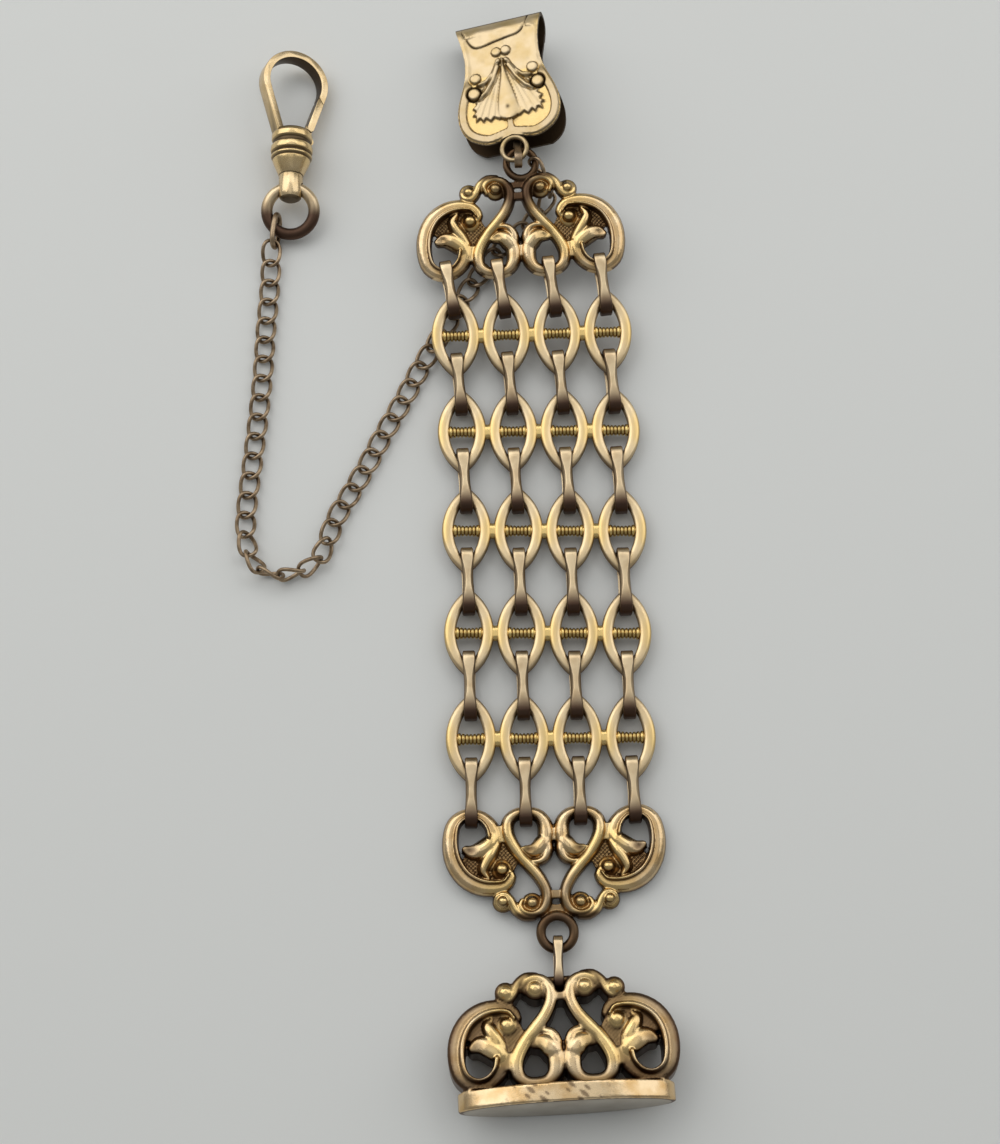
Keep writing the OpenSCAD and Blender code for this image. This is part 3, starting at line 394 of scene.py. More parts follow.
# %% Finishing a piece
def finish_piece(name, bm, metals, nodes, body="root", matrix=None, sharp=35, paint=None):
    """Makes the object in metres, rides it on its body and lets it stand for its nodes. paint
    gives the dark and yellow values from the points' places and normals."""
    bmesh.ops.recalc_face_normals(bm, faces=bm.faces)
    if paint is not None:
        bm.normal_update()
        places, normals = (np.array([getattr(v, key) for v in bm.verts])
                           for key in ("co", "normal"))
        for key, values in zip(("dark", "yellow"), paint(places, normals)):
            layer = bm.verts.layers.float.new(key)
            for vert, value in zip(bm.verts, np.clip(values, 0, 1)):
                vert[layer] = float(value)
    if matrix is not None:
        bmesh.ops.transform(bm, matrix=matrix, verts=bm.verts)
    bmesh.ops.scale(bm, vec=(MM, MM, MM), verts=bm.verts)
    mesh = bpy.data.meshes.new(name)
    bm.to_mesh(mesh)
    bm.free()
    for metal in metals:
        mesh.materials.append(metal)
    mesh.polygons.foreach_set("use_smooth", [True] * len(mesh.polygons))
    mesh.set_sharp_from_angle(angle=radians(sharp))
    piece = bpy.data.objects.new(name, mesh)
    bpy.context.scene.collection.objects.link(piece)
    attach(piece, body)
    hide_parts(*nodes)
    size = [max(v.co[k] for v in mesh.vertices) - min(v.co[k] for v in mesh.vertices)
            for k in range(3)]
    print(name, "faces", len(mesh.polygons), "size mm", [round(s / MM, 1) for s in size])


# %% [markdown]
# ## Band of ovals
# Each row is four pointed ovals, each with a reeded bar across that is thinnest in its middle.
# An oval could be a cut-out plate, but a real one is a bent bar with soft shoulders, so a
# section runs round a closed line. The reeded bar is a profile spun about its own axis.

# %% One oval
OVAL_W, OVAL_H, OVAL_BAR, OVAL_T = 5.7, 10.3, 1.2, 1.2
LENS_H = OVAL_H / 2 + OVAL_BAR * 0.1
OVAL_R = ((OVAL_W / 2) ** 2 + LENS_H ** 2) / OVAL_W
OVAL_OFF = OVAL_R - OVAL_W / 2
HOLE_W = 2.96
HOLE_H = 2 * sqrt((OVAL_R - OVAL_BAR) ** 2 - OVAL_OFF ** 2)
HOLE_R = (HOLE_W ** 2 + HOLE_H ** 2) / (4 * HOLE_W)
HOLE_OFF = HOLE_R - HOLE_W / 2
TIP_R = OVAL_BAR * 0.66
# Along a quarter, the side takes this share and the tip the rest; the hole's line runs ahead.
SIDE_SHARE, HOLE_AHEAD, BLEND, BLEND_FADE = 0.72, 1.12, 0.5, 6


def oval_line(steps=18):
    """Outer and inner points of an oval's bar over one quarter, from its side to its tip."""
    tip = Vector((0, OVAL_H / 2 - TIP_R))
    outer, inner = [], []
    in_end = acos(HOLE_OFF / HOLE_R)
    leave = atan2(tip.y, OVAL_OFF)
    for i in range(steps + 1):
        t = i / steps
        a = in_end * min(1.0, t * HOLE_AHEAD)
        inner.append(Vector((HOLE_R * cos(a) - HOLE_OFF, HOLE_R * sin(a))))
        if t < SIDE_SHARE:
            a = leave * t / SIDE_SHARE
            outer.append(Vector((OVAL_R * cos(a) - OVAL_OFF, OVAL_R * sin(a))))
        else:
            a = leave + (pi / 2 - leave) * (t - SIDE_SHARE) / (1 - SIDE_SHARE)
            rim = Vector((OVAL_R * cos(leave) - OVAL_OFF, OVAL_R * sin(leave)))
            round_tip = tip + Vector((cos(a), sin(a))) * TIP_R
            mixed = max(0.0, BLEND - (t - SIDE_SHARE) * BLEND_FADE)
            outer.append(round_tip.lerp(rim, mixed))
    return outer, inner


def oval(bm):
    """One oval: a soft bar run round its closed line."""
    outer, inner = oval_line()
    quarter = list(zip(outer, inner))
    flips = ((1, 1, False), (-1, 1, True), (-1, -1, False), (1, -1, True))
    ring = []
    for fx, fy, back in flips:
        part = [(Vector((o.x * fx, o.y * fy)), Vector((i.x * fx, i.y * fy)))
                for o, i in quarter]
        part = part[::-1] if back else part
        ring += part[:-1]
    stations = []
    for o, i in ring:
        mid, across = (o + i) / 2, (o - i) / 2
        along = Vector((-across.y, across.x, 0))
        stations.append(station((mid.x, mid.y, 0), along, wide=across.length, high=OVAL_T / 2))
    bar(bm, rounded(16, 3.0), stations, closed=True)


print("an oval's hole is", HOLE_W, "x", round(HOLE_H, 2), "mm")

# %% Reeded bar
POLE = 1e-4


def spun(bm, profile, matrix, steps=32):
    """Spins a profile of (radius, height) about Z into a closed shape."""
    verts = [bm.verts.new((r, 0, h)) for r, h in profile]
    edges = [bm.edges.new(pair) for pair in zip(verts, verts[1:])]
    before = set(bm.verts)
    made = bmesh.ops.spin(bm, geom=verts + edges, angle=2 * pi, axis=(0, 0, 1), cent=(0, 0, 0),
                          steps=steps, use_merge=True)
    every = list(set(verts) | (set(bm.verts) - before))
    bmesh.ops.remove_doubles(bm, verts=every, dist=POLE)
    every = [v for v in every if v.is_valid]
    bmesh.ops.transform(bm, matrix=matrix, verts=every)
    return every


RIDGES, BAR_D, BAR_SLIM, BAR_FLAT, GROOVE, STUB = 7, 1.56, 0.80, 0.84, 0.68, 0.3


def crossbar(bm):
    """The reeded bar, thinner in the middle, along X; its stubs end inside the oval."""
    half = HOLE_W / 2
    thin = BAR_D * 0.34
    profile = [(0, -half - STUB), (thin, -half - STUB), (thin, -half)]
    for i in range(RIDGES):
        for k in range(8):
            x = -half + (i + k / 8) * HOLE_W / RIDGES
            swell = BAR_SLIM + (1 - BAR_SLIM) * (x / half) ** 2
            ridge = GROOVE + (1 - GROOVE) * sqrt(sin(pi * k / 8))
            profile.append((BAR_D / 2 * swell * ridge, x))
    profile += [(thin, half), (thin, half + STUB), (0, half + STUB)]
    flat = Matrix.Diagonal((1, 1, BAR_FLAT, 1))
    return spun(bm, profile, flat @ Matrix.Rotation(pi / 2, 4, "Y"), steps=24)


print("ridges on the bar:", RIDGES)

# %% [markdown]
# ## Rows
# The four ovals of a row are soldered side to side, so a row is one stiff piece. The rows
# could be copies of one mesh, but each was dropped on the table a little turned, and its place
# belongs in its mesh, so each is made where it lies. Gilt stays yellow near the solder and goes
# brown at the tips; the flanks, the grooves between the ridges and the lower half of each bar
# get painted shade. All of that is stored on the points.

# %% Rows of ovals
# Shift across in column pitches, along in row pitches, rise in ring heights, tilt and turn.
LAY_GAP, RING_H = 0.8, 2.9
ROW_LAY = [(-0.035, -0.027, 0.27, 5, -0.6), (0.020, 0, 0, 0, -1.5), (0.035, 0, 0, 0, -2.3),
           (0.008, 0, 0, 0, -2.3), (-0.028, 0, 0, 0, -1.5)]
BRIDGE_H, BRIDGE_IN, BRIDGE_SLIM = 2.6, 0.45, 0.68
# The flank and bar values are painted shade; the tips are brown and the solder yellow.
TIP_BROWN, FLANK_SHADE, BAR_SHADE, SOLDER_YELLOW = 0.45, 0.75, 0.5, 0.9
TIP_NEAR, TIP_FAR = 2.6, 5.2


def row_place(i):
    """Where a row lies, with its small turn and tilt."""
    aside, up, rise, tilt, turn = ROW_LAY[i - 1]
    return placed((aside * COL_PITCH, (3 - i + up) * ROW_PITCH,
                   LAY_GAP + OVAL_T / 2 + rise * RING_H), (tilt, 0, turn))


def solder_bridge(bm, x):
    """A small waisted fillet of solder between two ovals."""
    gap = COL_PITCH - OVAL_W
    stations = []
    for k in range(7):
        t = k / 3 - 1
        reach = BRIDGE_SLIM + (1 - BRIDGE_SLIM) * t * t
        stations.append(station((x + t * (gap / 2 + BRIDGE_IN), 0, -OVAL_T * 0.04), (1, 0, 0),
                                wide=BRIDGE_H / 2 * reach, high=OVAL_T * 0.44))
    bar(bm, rounded(12, 2.6), stations)


print("rows are", ROW_PITCH, "mm apart")

# %% Brown tips and painted shade on the rows
def row_paint(places, normals):
    """Brown at the tips; painted shade on the sides, between the ridges and under the bar; yellow
    near the solder.
    """
    x, y, z = places.T
    seam = np.abs((x / COL_PITCH) - np.round(x / COL_PITCH)) * COL_PITCH
    centre = COL_PITCH / 2 - seam
    dark = TIP_BROWN * step(np.abs(y), TIP_NEAR, TIP_FAR)
    # Painted shade on the flanks, which face sideways.
    dark += FLANK_SHADE * (1 - step(normals[:, 2], 0.05, 0.75))
    radius = np.hypot(y, z)
    in_bar = (centre < HOLE_W / 2) & (radius < BAR_D / 2)
    groove = 1 - step(radius, BAR_D * 0.34, BAR_D * 0.44)
    # Painted shade between the ridges of the bar and on its lower half.
    dark = np.where(in_bar, BAR_SHADE * (groove + 1 - step(z, -0.4, 0.1)), dark)
    yellow = (1 - step(seam, 0.3, 1.7)) * (1 - step(np.abs(y), 0.8, 3.2))
    return dark, SOLDER_YELLOW * yellow


# %% Making the rows
for i in range(1, 6):
    row = bmesh.new()
    for c in range(4):
        known = set(row.verts)
        oval(row)
        fresh = [v for v in row.verts if v not in known]
        bmesh.ops.translate(row, vec=((c - 1.5) * COL_PITCH, 0, 0), verts=fresh)
    gilt_faces = set(row.faces)
    for c in range(4):
        fresh = crossbar(row)
        bmesh.ops.translate(row, vec=((c - 1.5) * COL_PITCH, 0, 0), verts=fresh)
    for c in range(3):
        solder_bridge(row, (c - 1) * COL_PITCH)
    for face in row.faces:
        face.material_index = 0 if face in gilt_faces else 1
    finish_piece(f"row_{i}", row, [SATIN_GILT, YELLOW_GILT], [f"link_row_{i}"],
                 matrix=row_place(i), sharp=50, paint=row_paint)

# %% [markdown]
# ## Strip rings
# Between the rows hang long rings bent from flat strip, standing on edge, rubbed brown where
# they turn in the ovals, and given painted shade there and on their slanted facets. They could
# be flattened tori, but a flat strip has a face and two edges, so a flat section runs round a
# rounded slot. Each strip is waisted in the middle, as if pinched when it was closed.

# %% Strip ring
FACETS = ((-1, -1), (1, -1), (1, 0.35), (0.85, 1), (-0.85, 1), (-1, 0.35))
FACET_FOOT, STRIP_SOFT = -0.6, 0.05
# The waist is narrowest up to one share of the length and full from the other on.
WAIST_FROM, WAIST_TO = 0.03, 0.36
# The foot and head values are wear with painted shade; the facet value is painted shade.
FOOT_WEAR_AND_SHADE, HEAD_WEAR_AND_SHADE, FACET_SHADE = 0.97, 0.60, 0.95
OFF_TABLE = 0.02


def strip_ring(bm, length, height, width, thick, corner, waist=0.98, pinched=0.46, ends=1.15):
    """A closed ring of strip along Y, standing on edge in the YZ plane; the flat of the strip
    narrows to the pinched share of its width, with a slanted facet at both sides."""
    r = corner - thick / 2
    half_l, half_h = length / 2 - corner, height / 2 - corner
    line = []
    for cy, cz, start in ((half_l, half_h, 0), (-half_l, half_h, 90), (-half_l, -half_h, 180),
                          (half_l, -half_h, 270)):
        for k in range(7):
            a = radians(start + 15 * k)
            line.append((Vector((0, cy + r * cos(a), cz + r * sin(a))), a + pi / 2))
        if start in (0, 180):
            side = 1 if start == 0 else -1
            for k in range(1, 12):
                y = side * half_l * (1 - k / 6)
                line.append((Vector((0, y, side * (half_h + r))), pi if side == 1 else 0.0))
    stations, slims = [], []
    for point, heading in line:
        ease = float(step(abs(point.y) / length, WAIST_FROM, WAIST_TO))
        along = Vector((0, cos(heading), sin(heading)))
        stations.append(station(point, along, up=(0, along.z, -along.y), high=thick / 2,
                                wide=width / 2 * (waist + (ends - waist) * ease)))
        slims.append(pinched + (1 - pinched) * ease)

    def faceted(u, v, k):
        slim = slims[k]
        if abs(u) < 0.9:
            return u * slim, v
        open_up = (slim - pinched) / (1 - pinched)
        return u, v if v < 0 else FACET_FOOT + (v - FACET_FOOT) * open_up

    bar(bm, FACETS, stations, closed=True, shape=faceted)
    rims = [e for e in bm.edges if e.calc_face_angle(0) > radians(15)]
    bmesh.ops.bevel(bm, geom=rims, offset=STRIP_SOFT, affect="EDGES", segments=2, profile=0.5,
                    material=-1, clamp_overlap=True)


print("a strip's section has", len(FACETS), "corners")

# %% Wear, painted shade and place of a ring
def ring_paint(length):
    """Brown from wear with painted shade towards the ends, most at the foot; painted shade on the
    slanted facets.
    """
    def paint(places, normals):
        y = places[:, 1] / (length / 2)
        # The ends are rubbed brown and also get painted shade where they turn in the ovals.
        dark = FOOT_WEAR_AND_SHADE * step(-y, 0.12, 0.78) + HEAD_WEAR_AND_SHADE * step(y, 0.80, 0.97)
        # Painted shade on the slanted facets, which face sideways.
        dark = np.maximum(dark, FACET_SHADE * (1 - step(normals[:, 2], 0.45, 0.95)))
        return dark, np.zeros(len(y))
    return paint


def ring_place(a, b, height, width, lean=0.0):
    """Where a ring stands, so that its outer ends reach a and b."""
    d, mid = a - b, (a + b) / 2
    rise = degrees(atan2(d.z, hypot(d.x, d.y)))
    lift = max(height / 2 + width * abs(sin(radians(lean))) / 2 + OFF_TABLE, mid.z)
    turn = degrees(atan2(d.y, d.x)) - 90
    return (Matrix.Translation(Vector((mid.x, mid.y, lift)) + SHIFT)
            @ Matrix.Rotation(radians(turn), 4, "Z") @ Matrix.Rotation(radians(rise), 4, "X")
            @ Matrix.Rotation(radians(lean), 4, "Y"))


print("a ring keeps", OFF_TABLE, "mm off the table")

# %% [markdown]
# ## Where the rings hang
# A ring runs from the foot of the oval above to the head of the oval below. Its place could be
# typed in, but then it would miss when a row moves, so both ends are worked out from the same
# values as the rows and plates, and the ring is laid between them with a small lean.

# %% Seats of the rings
STRIP_W, STRIP_T, RING_GAP = 1.25, 0.5, 0.17
PLATE_H, PLATE_T, SCROLL_W = 12.2, 1.4, 1.40
IN_R = OVAL_R - OVAL_BAR
ROW_REACH = sqrt(IN_R ** 2 - (OVAL_OFF + STRIP_W / 2 + RING_GAP) ** 2) - STRIP_T - RING_GAP
PLATE_REACH = PLATE_H * 0.183
LOOPS = (-1.53, -0.51, 0.51, 1.53)
TOP_LAY = ((-0.16 * COL_PITCH, (2 - 0.027 + 0.6) * ROW_PITCH, LAY_GAP + 0.41 * RING_H),
           (8, -1.5, 0.5))
LOW_LAY = ((-0.05 * COL_PITCH, (-2 - 0.63) * ROW_PITCH, LAY_GAP), (0, 0, -0.5))
RING_LEAN = ((0, -1, 1, 0), (2, 1, -2, 3), (3, -1, 1, -2), (3, 1, -1, 2), (-1, 1, 0, -2),
             (1, -1, 1, -1))
OVER_CHAIN = RING_H * 0.1


def unshifted(matrix, point):
    """A point of a placed shape, in the CAD drawing's own place."""
    return matrix @ Vector(point) - SHIFT


def plate_seat(lay, c, side):
    """Where the end of a ring reaches in a loop of a plate."""
    return unshifted(placed(*lay), (LOOPS[c] * COL_PITCH, side * PLATE_REACH, OVAL_T / 2))


def row_seat(i, c, side):
    """Where the end of a ring reaches in an oval of a row."""
    return unshifted(row_place(i), ((c - 1.5) * COL_PITCH, side * ROW_REACH, 0))


# %% Making the rings
for r in range(1, 7):
    for c in range(4):
        above = plate_seat(TOP_LAY, c, 1) if r == 1 else row_seat(r - 1, c, -1)
        below = plate_seat(LOW_LAY, c, -1) if r == 6 else row_seat(r, c, 1)
        if r == 1 and c == 0:
            below.z += OVER_CHAIN
        lean = RING_LEAN[r - 1][c]
        ring = bmesh.new()
        long = (above - below).length
        strip_ring(ring, long, RING_H, STRIP_W, STRIP_T, 0.4 * RING_H)
        finish_piece(f"strip_ring_{r}_{c + 1}", ring, [BROWN_GILT], [f"connector_r{r}_c{c + 1}"],
                     matrix=ring_place(above, below, RING_H, STRIP_W, lean),
                     paint=ring_paint(long))

# %% [markdown]
# ## Scroll plates and seal mount
# The plates at both ends of the band, and the mount of the seal, share one ornament: two
# halves of C-scrolls with round volutes, cupped leaves and a small curl. It could be carved
# from a plate with displacement, but its scrolls are pierced and overlap like bent bars. So
# each scroll is a bar with its own widths, the leaves have a thumb-sized hollow pressed
# into the tip, and a fine voxel remesh melts them into one casting, as solder and chasing do.

# %% Ornament tables
# Across in column pitches, up in plate heights, width in scroll widths, height in plate
# thicknesses.
OUTER_SCROLL = ((0.88, 0.565, 0.50, 0.75), (0.80, 0.635, 0.75, 0.85), (0.91, 0.715, 1.00, 0.92),
                (1.14, 0.742, 1.22, 0.98), (1.42, 0.722, 1.34, 1.00), (1.69, 0.640, 1.38, 1.00),
                (1.87, 0.500, 1.38, 1.00), (1.93, 0.335, 1.34, 1.00), (1.88, 0.170, 1.24, 1.00),
                (1.74, 0.085, 1.10, 0.97), (1.54, 0.054, 1.02, 0.93), (1.32, 0.086, 1.05, 0.95),
                (1.16, 0.170, 1.20, 0.97), (1.10, 0.270, 1.30, 1.00), (1.13, 0.350, 1.20, 0.95),
                (1.22, 0.420, 0.70, 0.85))
OUTER_CUP = ((1.10, 0.230, 1.00, 0.85), (1.17, 0.320, 1.50, 1.05), (1.33, 0.385, 1.62, 1.10),
             (1.52, 0.405, 1.30, 1.05), (1.68, 0.375, 0.70, 0.90))
OUTER_LEAF = ((1.06, 0.330, 0.90, 0.85), (1.18, 0.430, 1.15, 1.08), (1.29, 0.520, 1.10, 1.10),
              (1.33, 0.590, 0.90, 1.02), (1.24, 0.655, 0.55, 0.85))
INNER_SCROLL = ((0.62, 0.850, 0.45, 0.75), (0.67, 0.905, 0.55, 0.85), (0.60, 0.962, 0.66, 0.90),
                (0.44, 0.985, 0.80, 0.92), (0.27, 0.950, 0.90, 0.95), (0.175, 0.870, 0.95, 1.00),
                (0.18, 0.770, 1.00, 1.00), (0.29, 0.655, 1.05, 1.00), (0.45, 0.555, 1.10, 1.00),
                (0.62, 0.455, 1.12, 1.00), (0.77, 0.350, 1.15, 1.00), (0.86, 0.240, 1.16, 1.00),
                (0.84, 0.135, 1.10, 0.95), (0.71, 0.070, 1.02, 0.93), (0.51, 0.054, 1.00, 0.92),
                (0.30, 0.074, 1.08, 0.93), (0.17, 0.150, 1.24, 0.97), (0.14, 0.255, 1.40, 1.00),
                (0.17, 0.330, 1.20, 0.95), (0.25, 0.385, 0.70, 0.85))
INNER_CUP = ((0.14, 0.230, 1.00, 0.85), (0.18, 0.320, 1.50, 1.06), (0.29, 0.385, 1.50, 1.10),
             (0.43, 0.405, 1.15, 1.02), (0.57, 0.385, 0.60, 0.88))
INNER_LEAF = ((0.13, 0.300, 0.75, 0.88), (0.12, 0.400, 0.95, 1.02), (0.19, 0.480, 0.85, 1.00),
              (0.32, 0.510, 0.65, 0.92), (0.46, 0.500, 0.40, 0.80))
CURL = ((0.40, 1.010, 0.55, 0.78), (0.60, 1.005, 0.70, 0.85), (0.76, 0.940, 0.80, 0.88),
        (0.84, 0.855, 0.80, 0.90), (0.95, 0.800, 0.76, 0.90), (1.09, 0.815, 0.50, 0.80),
        (1.13, 0.865, 0.34, 0.70))
# Balls: across, up, radius in scroll widths, height in plate thicknesses.
BALLS = ((0.985, 0.575, 0.60, 1.24), (0.445, 0.885, 0.56, 1.22), (0.985, 0.865, 0.54, 1.15))
ROLL_WIDE, ROLL_LOW = 1.55, 0.60
# The crest of the outer scroll: towards its hollow, share of its width, share of its height.
CREST = (0.70, 0.32, 1.34)
# Thumb-sized hollows pressed into the tips of the leaves: across, up.
DIMPLES = ((1.56, 0.395), (0.47, 0.398))
DIMPLE_R, DIMPLE_DEEP = 0.70, 0.42
GRAIN_PITCH, GRAIN_HIGH = 0.46, 0.14
GROUND = ((0.64, 0.47), (0.80, 0.34), (1.05, 0.27), (1.22, 0.40), (1.42, 0.46), (1.66, 0.44),
          (1.84, 0.52), (1.66, 0.66), (1.40, 0.73), (1.12, 0.74), (0.90, 0.70), (0.76, 0.59))
GROUND_T = PLATE_T * 0.38
# Blocks of solder that tie the scrolls: across, up, width and length.
TIES = ((0, 0.81, 0.20, 0.075), (0, 0.26, 0.14, 0.11), (-0.99, 0.25, 0.12, 0.15),
        (0.99, 0.25, 0.12, 0.15))
OUTER_LOW = 0.88
END_SLIM, END_LOW, END_OUT = 0.45, 0.9, 0.18
print("scroll stations:", len(OUTER_SCROLL), "outer,", len(INNER_SCROLL), "inner")

# %% [markdown]
# ## From tables to ornament
# One half is made and mirrored, because the real pattern is cut as a pair too. Each row of a
# table is a station of a bar; a smooth curve through them could also be a Blender curve with
# tapers, but there its width and height can't change apart. The hollows and the stippled
# ground are pressed in after the melting, as a chaser does last.

# %% Profiles of the scrolls
def dome(sides=14):
    """A flat-backed ridge, 2 wide and 1 high."""
    turns = [pi * k / (sides - 3) for k in range(sides - 2)]
    top = [(cos(a), 0.12 + 0.88 * max(0.0, sin(a)) ** 0.9) for a in turns]
    return top + [(-1, 0), (1, 0)]


def two_faced(profile, wall):
    """A profile on both faces of a thicker wall; wall is in ridge heights."""
    top = [(x, y + wall) for x, y in profile[:-2]]
    return top + [(x, -y) for x, y in top[::-1]]


print("a dome has", len(dome()), "points,", len(two_faced(dome(), 1)), "with both faces")

# %% Scrolls, balls and blocks
def scroll(bm, rows, profile, steps=3, crest=(0, 1, 1)):
    """A bar along the smooth curve of a table, with narrowed ends."""
    path = smooth_path([(x * COL_PITCH, y * PLATE_H, w * SCROLL_W, h) for x, y, w, h in rows],
                       steps)
    inwards, slim, tall = crest
    stations = []
    for i, (x, y, w, h) in enumerate(path):
        before, after = path[max(0, i - 1)], path[min(len(path) - 1, i + 1)]
        along = Vector((after[0] - before[0], after[1] - before[1], 0)).normalized()
        x, y = x + along.y * inwards * w / 2, y - along.x * inwards * w / 2
        stations.append(station((x, y, 0), along, wide=w / 2 * slim, high=h * tall))
    ends = []
    for end, way in ((stations[0], -1), (stations[-1], 1)):
        along = end.col[2].xyz * way
        narrowed = end @ Matrix.Diagonal((END_SLIM, END_LOW, 1, 1))
        narrowed.translation += along * END_OUT
        ends.append(narrowed)
    bar(bm, profile, ends[:1] + stations + ends[1:])


def ball(bm, x, y, r, h, wall, two):
    """A round boss on one face, or on both."""
    high = h * PLATE_T / (2 if two else 1)
    profile = [(0, wall + high)]
    for k in range(1, 9):
        a = pi / 2 * k / 8
        profile.append((r * SCROLL_W * sin(a), wall + high * (0.3 + 0.7 * cos(a))))
    low = -profile[-1][1] if two else 0
    profile.append((r * SCROLL_W, low))
    if two:
        profile += [(rad, -z) for rad, z in profile[:-2][::-1]]
    else:
        profile.append((0, 0))
    spun(bm, profile, Matrix.Translation((x * COL_PITCH, y * PLATE_H, 0)), steps=24)


def block(bm, centre, size):
    """A plain block."""
    made = bmesh.ops.create_cube(bm, size=1)["verts"]
    bmesh.ops.scale(bm, vec=size, verts=made)
    bmesh.ops.translate(bm, vec=centre, verts=made)


# %% Half and whole ornament
def half_ornament(bm, wall, two):
    """The right half: scrolls, crest, leaves, cups, balls and the ground behind."""
    unit = PLATE_T / 2 if two else PLATE_T
    def shape(profile):
        scaled = [(x, y * unit) for x, y in profile]
        return two_faced(scaled, wall) if two else scaled
    scroll(bm, [(x, y, w, h * OUTER_LOW) for x, y, w, h in OUTER_SCROLL], shape(dome()))
    for rows in (INNER_SCROLL, OUTER_LEAF, INNER_LEAF, CURL):
        scroll(bm, rows, shape(dome()))
    scroll(bm, OUTER_SCROLL[1:-2], shape(dome()), crest=CREST)
    for rows in (OUTER_CUP, INNER_CUP):
        scroll(bm, rows, shape(dome()), steps=4)
    for x, y, r, h in BALLS:
        ball(bm, x, y, r, h, wall, two)
        ball(bm, x, y, r * ROLL_WIDE, h * ROLL_LOW, wall, two)
    top = wall + GROUND_T * unit / PLATE_T
    verts = [bm.verts.new((x * COL_PITCH, y * PLATE_H, top)) for x, y in GROUND]
    face = bm.faces.new(verts)
    depth = 2 * top if two else top
    walls = bmesh.ops.extrude_face_region(bm, geom=[face])["geom"]
    bmesh.ops.translate(bm, vec=(0, 0, -depth), verts=only(VERT, walls))
    bmesh.ops.recalc_face_normals(bm, faces=bm.faces)


def ornament(bm, wall=0.0, two=False):
    """Both halves and the solder that ties them."""
    half_ornament(bm, wall, two)
    every = list(bm.verts) + list(bm.edges) + list(bm.faces)
    copied = bmesh.ops.duplicate(bm, geom=every)["geom"]
    bmesh.ops.scale(bm, vec=(-1, 1, 1), verts=only(VERT, copied))
    bmesh.ops.reverse_faces(bm, faces=only(FACE, copied))
    tall = 2 * wall + PLATE_T * 0.6 if two else PLATE_T * 0.7
    z = 0 if two else tall / 2
    for across, up, wide, long in TIES:
        block(bm, (COL_PITCH * across, PLATE_H * up, z), (COL_PITCH * wide, PLATE_H * long, tall))


# %% Chasing
SIDEWAYS, FLAT, GROUND_NEAR = 0.3, 0.9, 0.05


def chased(bm, wall=0.0, half=1.0):
    """Presses the hollows into the leaves' tips and stipples the ground."""
    bm.normal_update()
    ground = wall + GROUND_T * half
    for vert in bm.verts:
        side = 1 if vert.co.z > 0 else -1
        facing = vert.normal.z * side
        if facing < SIDEWAYS:
            continue
        for across, up in DIMPLES:
            off = hypot(abs(vert.co.x) - across * COL_PITCH, vert.co.y - up * PLATE_H) / DIMPLE_R
            vert.co.z -= side * DIMPLE_DEEP * half * facing * exp(-off ** 2)
        if facing > FLAT and abs(abs(vert.co.z) - ground) < GROUND_NEAR:
            vert.co.z += side * GRAIN_HIGH * half * (sin(2 * pi * vert.co.x / GRAIN_PITCH)
                                                     * sin(2 * pi * vert.co.y / GRAIN_PITCH))
    return bm


# %% Melting
def object_of(bm):
    """A passing object that can carry modifiers."""
    mesh = bpy.data.meshes.new("working")
    bm.to_mesh(mesh)
    bm.free()
    worked = bpy.data.objects.new("working", mesh)
    bpy.context.scene.collection.objects.link(worked)
    return worked


def modified(worked):
    """The shape after the object's modifiers; the object goes."""
    done = bpy.data.meshes.new_from_object(
        worked.evaluated_get(bpy.context.evaluated_depsgraph_get()))
    out = bmesh.new()
    out.from_mesh(done)
    bpy.data.objects.remove(worked)
    return out


def melted(bm, voxel, smooth=2):
    """Joins closed shells into one skin by a voxel remesh, then smooths it."""
    worked = object_of(bm)
    remesh = worked.modifiers.new("remesh", "REMESH")
    remesh.mode = "VOXEL"
    remesh.voxel_size = voxel
    soften = worked.modifiers.new("soften", "SMOOTH")
    soften.factor = 0.5
    soften.iterations = smooth
    return modified(worked)


print("a leaf's hollow is", DIMPLE_DEEP, "mm deep,", 2 * DIMPLE_R, "mm wide")

# %% [markdown]
# ## Both plates
# The two plates are the same casting, one turned over end for end, each with a round wire eye
# soldered to its neck. They could share one mesh, but the paint differs: the top plate's neck is
# almost black where the chain rubs, and the bottom plate's leaves have painted shade in their
# hollows.

# %% Eyes of the plates
EYE_D, EYE_WIRE = 4.75, 1.1
TOP_EYE_D, TOP_EYE_WIRE = 4.4, 0.9
TOP_EYE_X = PLATE_H * 0.045


def eye_y(d):
    """How far up the plate the centre of its eye is."""
    return PLATE_H * 0.96 + d / 2


def wire_ring(bm, centre, d, wire, steps=48, sides=14):
    """A closed ring of round wire, lying flat."""
    stations = []
    for k in range(steps):
        a = 2 * pi * k / steps
        r = (d - wire) / 2
        stations.append(station((centre[0] + r * cos(a), centre[1] + r * sin(a), centre[2]),
                                (-sin(a), cos(a), 0), wide=wire / 2, high=wire / 2))
    bar(bm, rounded(sides), stations, closed=True)


# %% Painted shade and colour of the castings
# How dark each place is, from 0 to 1; the ground, steep, side and crest values are painted shade.
GROUND_SHADE, STEEP_SHADE, SIDE_SHADE, CREST_SHADE = 0.80, 0.95, 0.92, 0.9
MEETING_YELLOW, SPOT_BROWN, EYE_BROWN = 0.75, 0.7, 0.92
NECK_Y, NECK_NEAR, NECK_FAR = 0.86, 1.2, 4.2


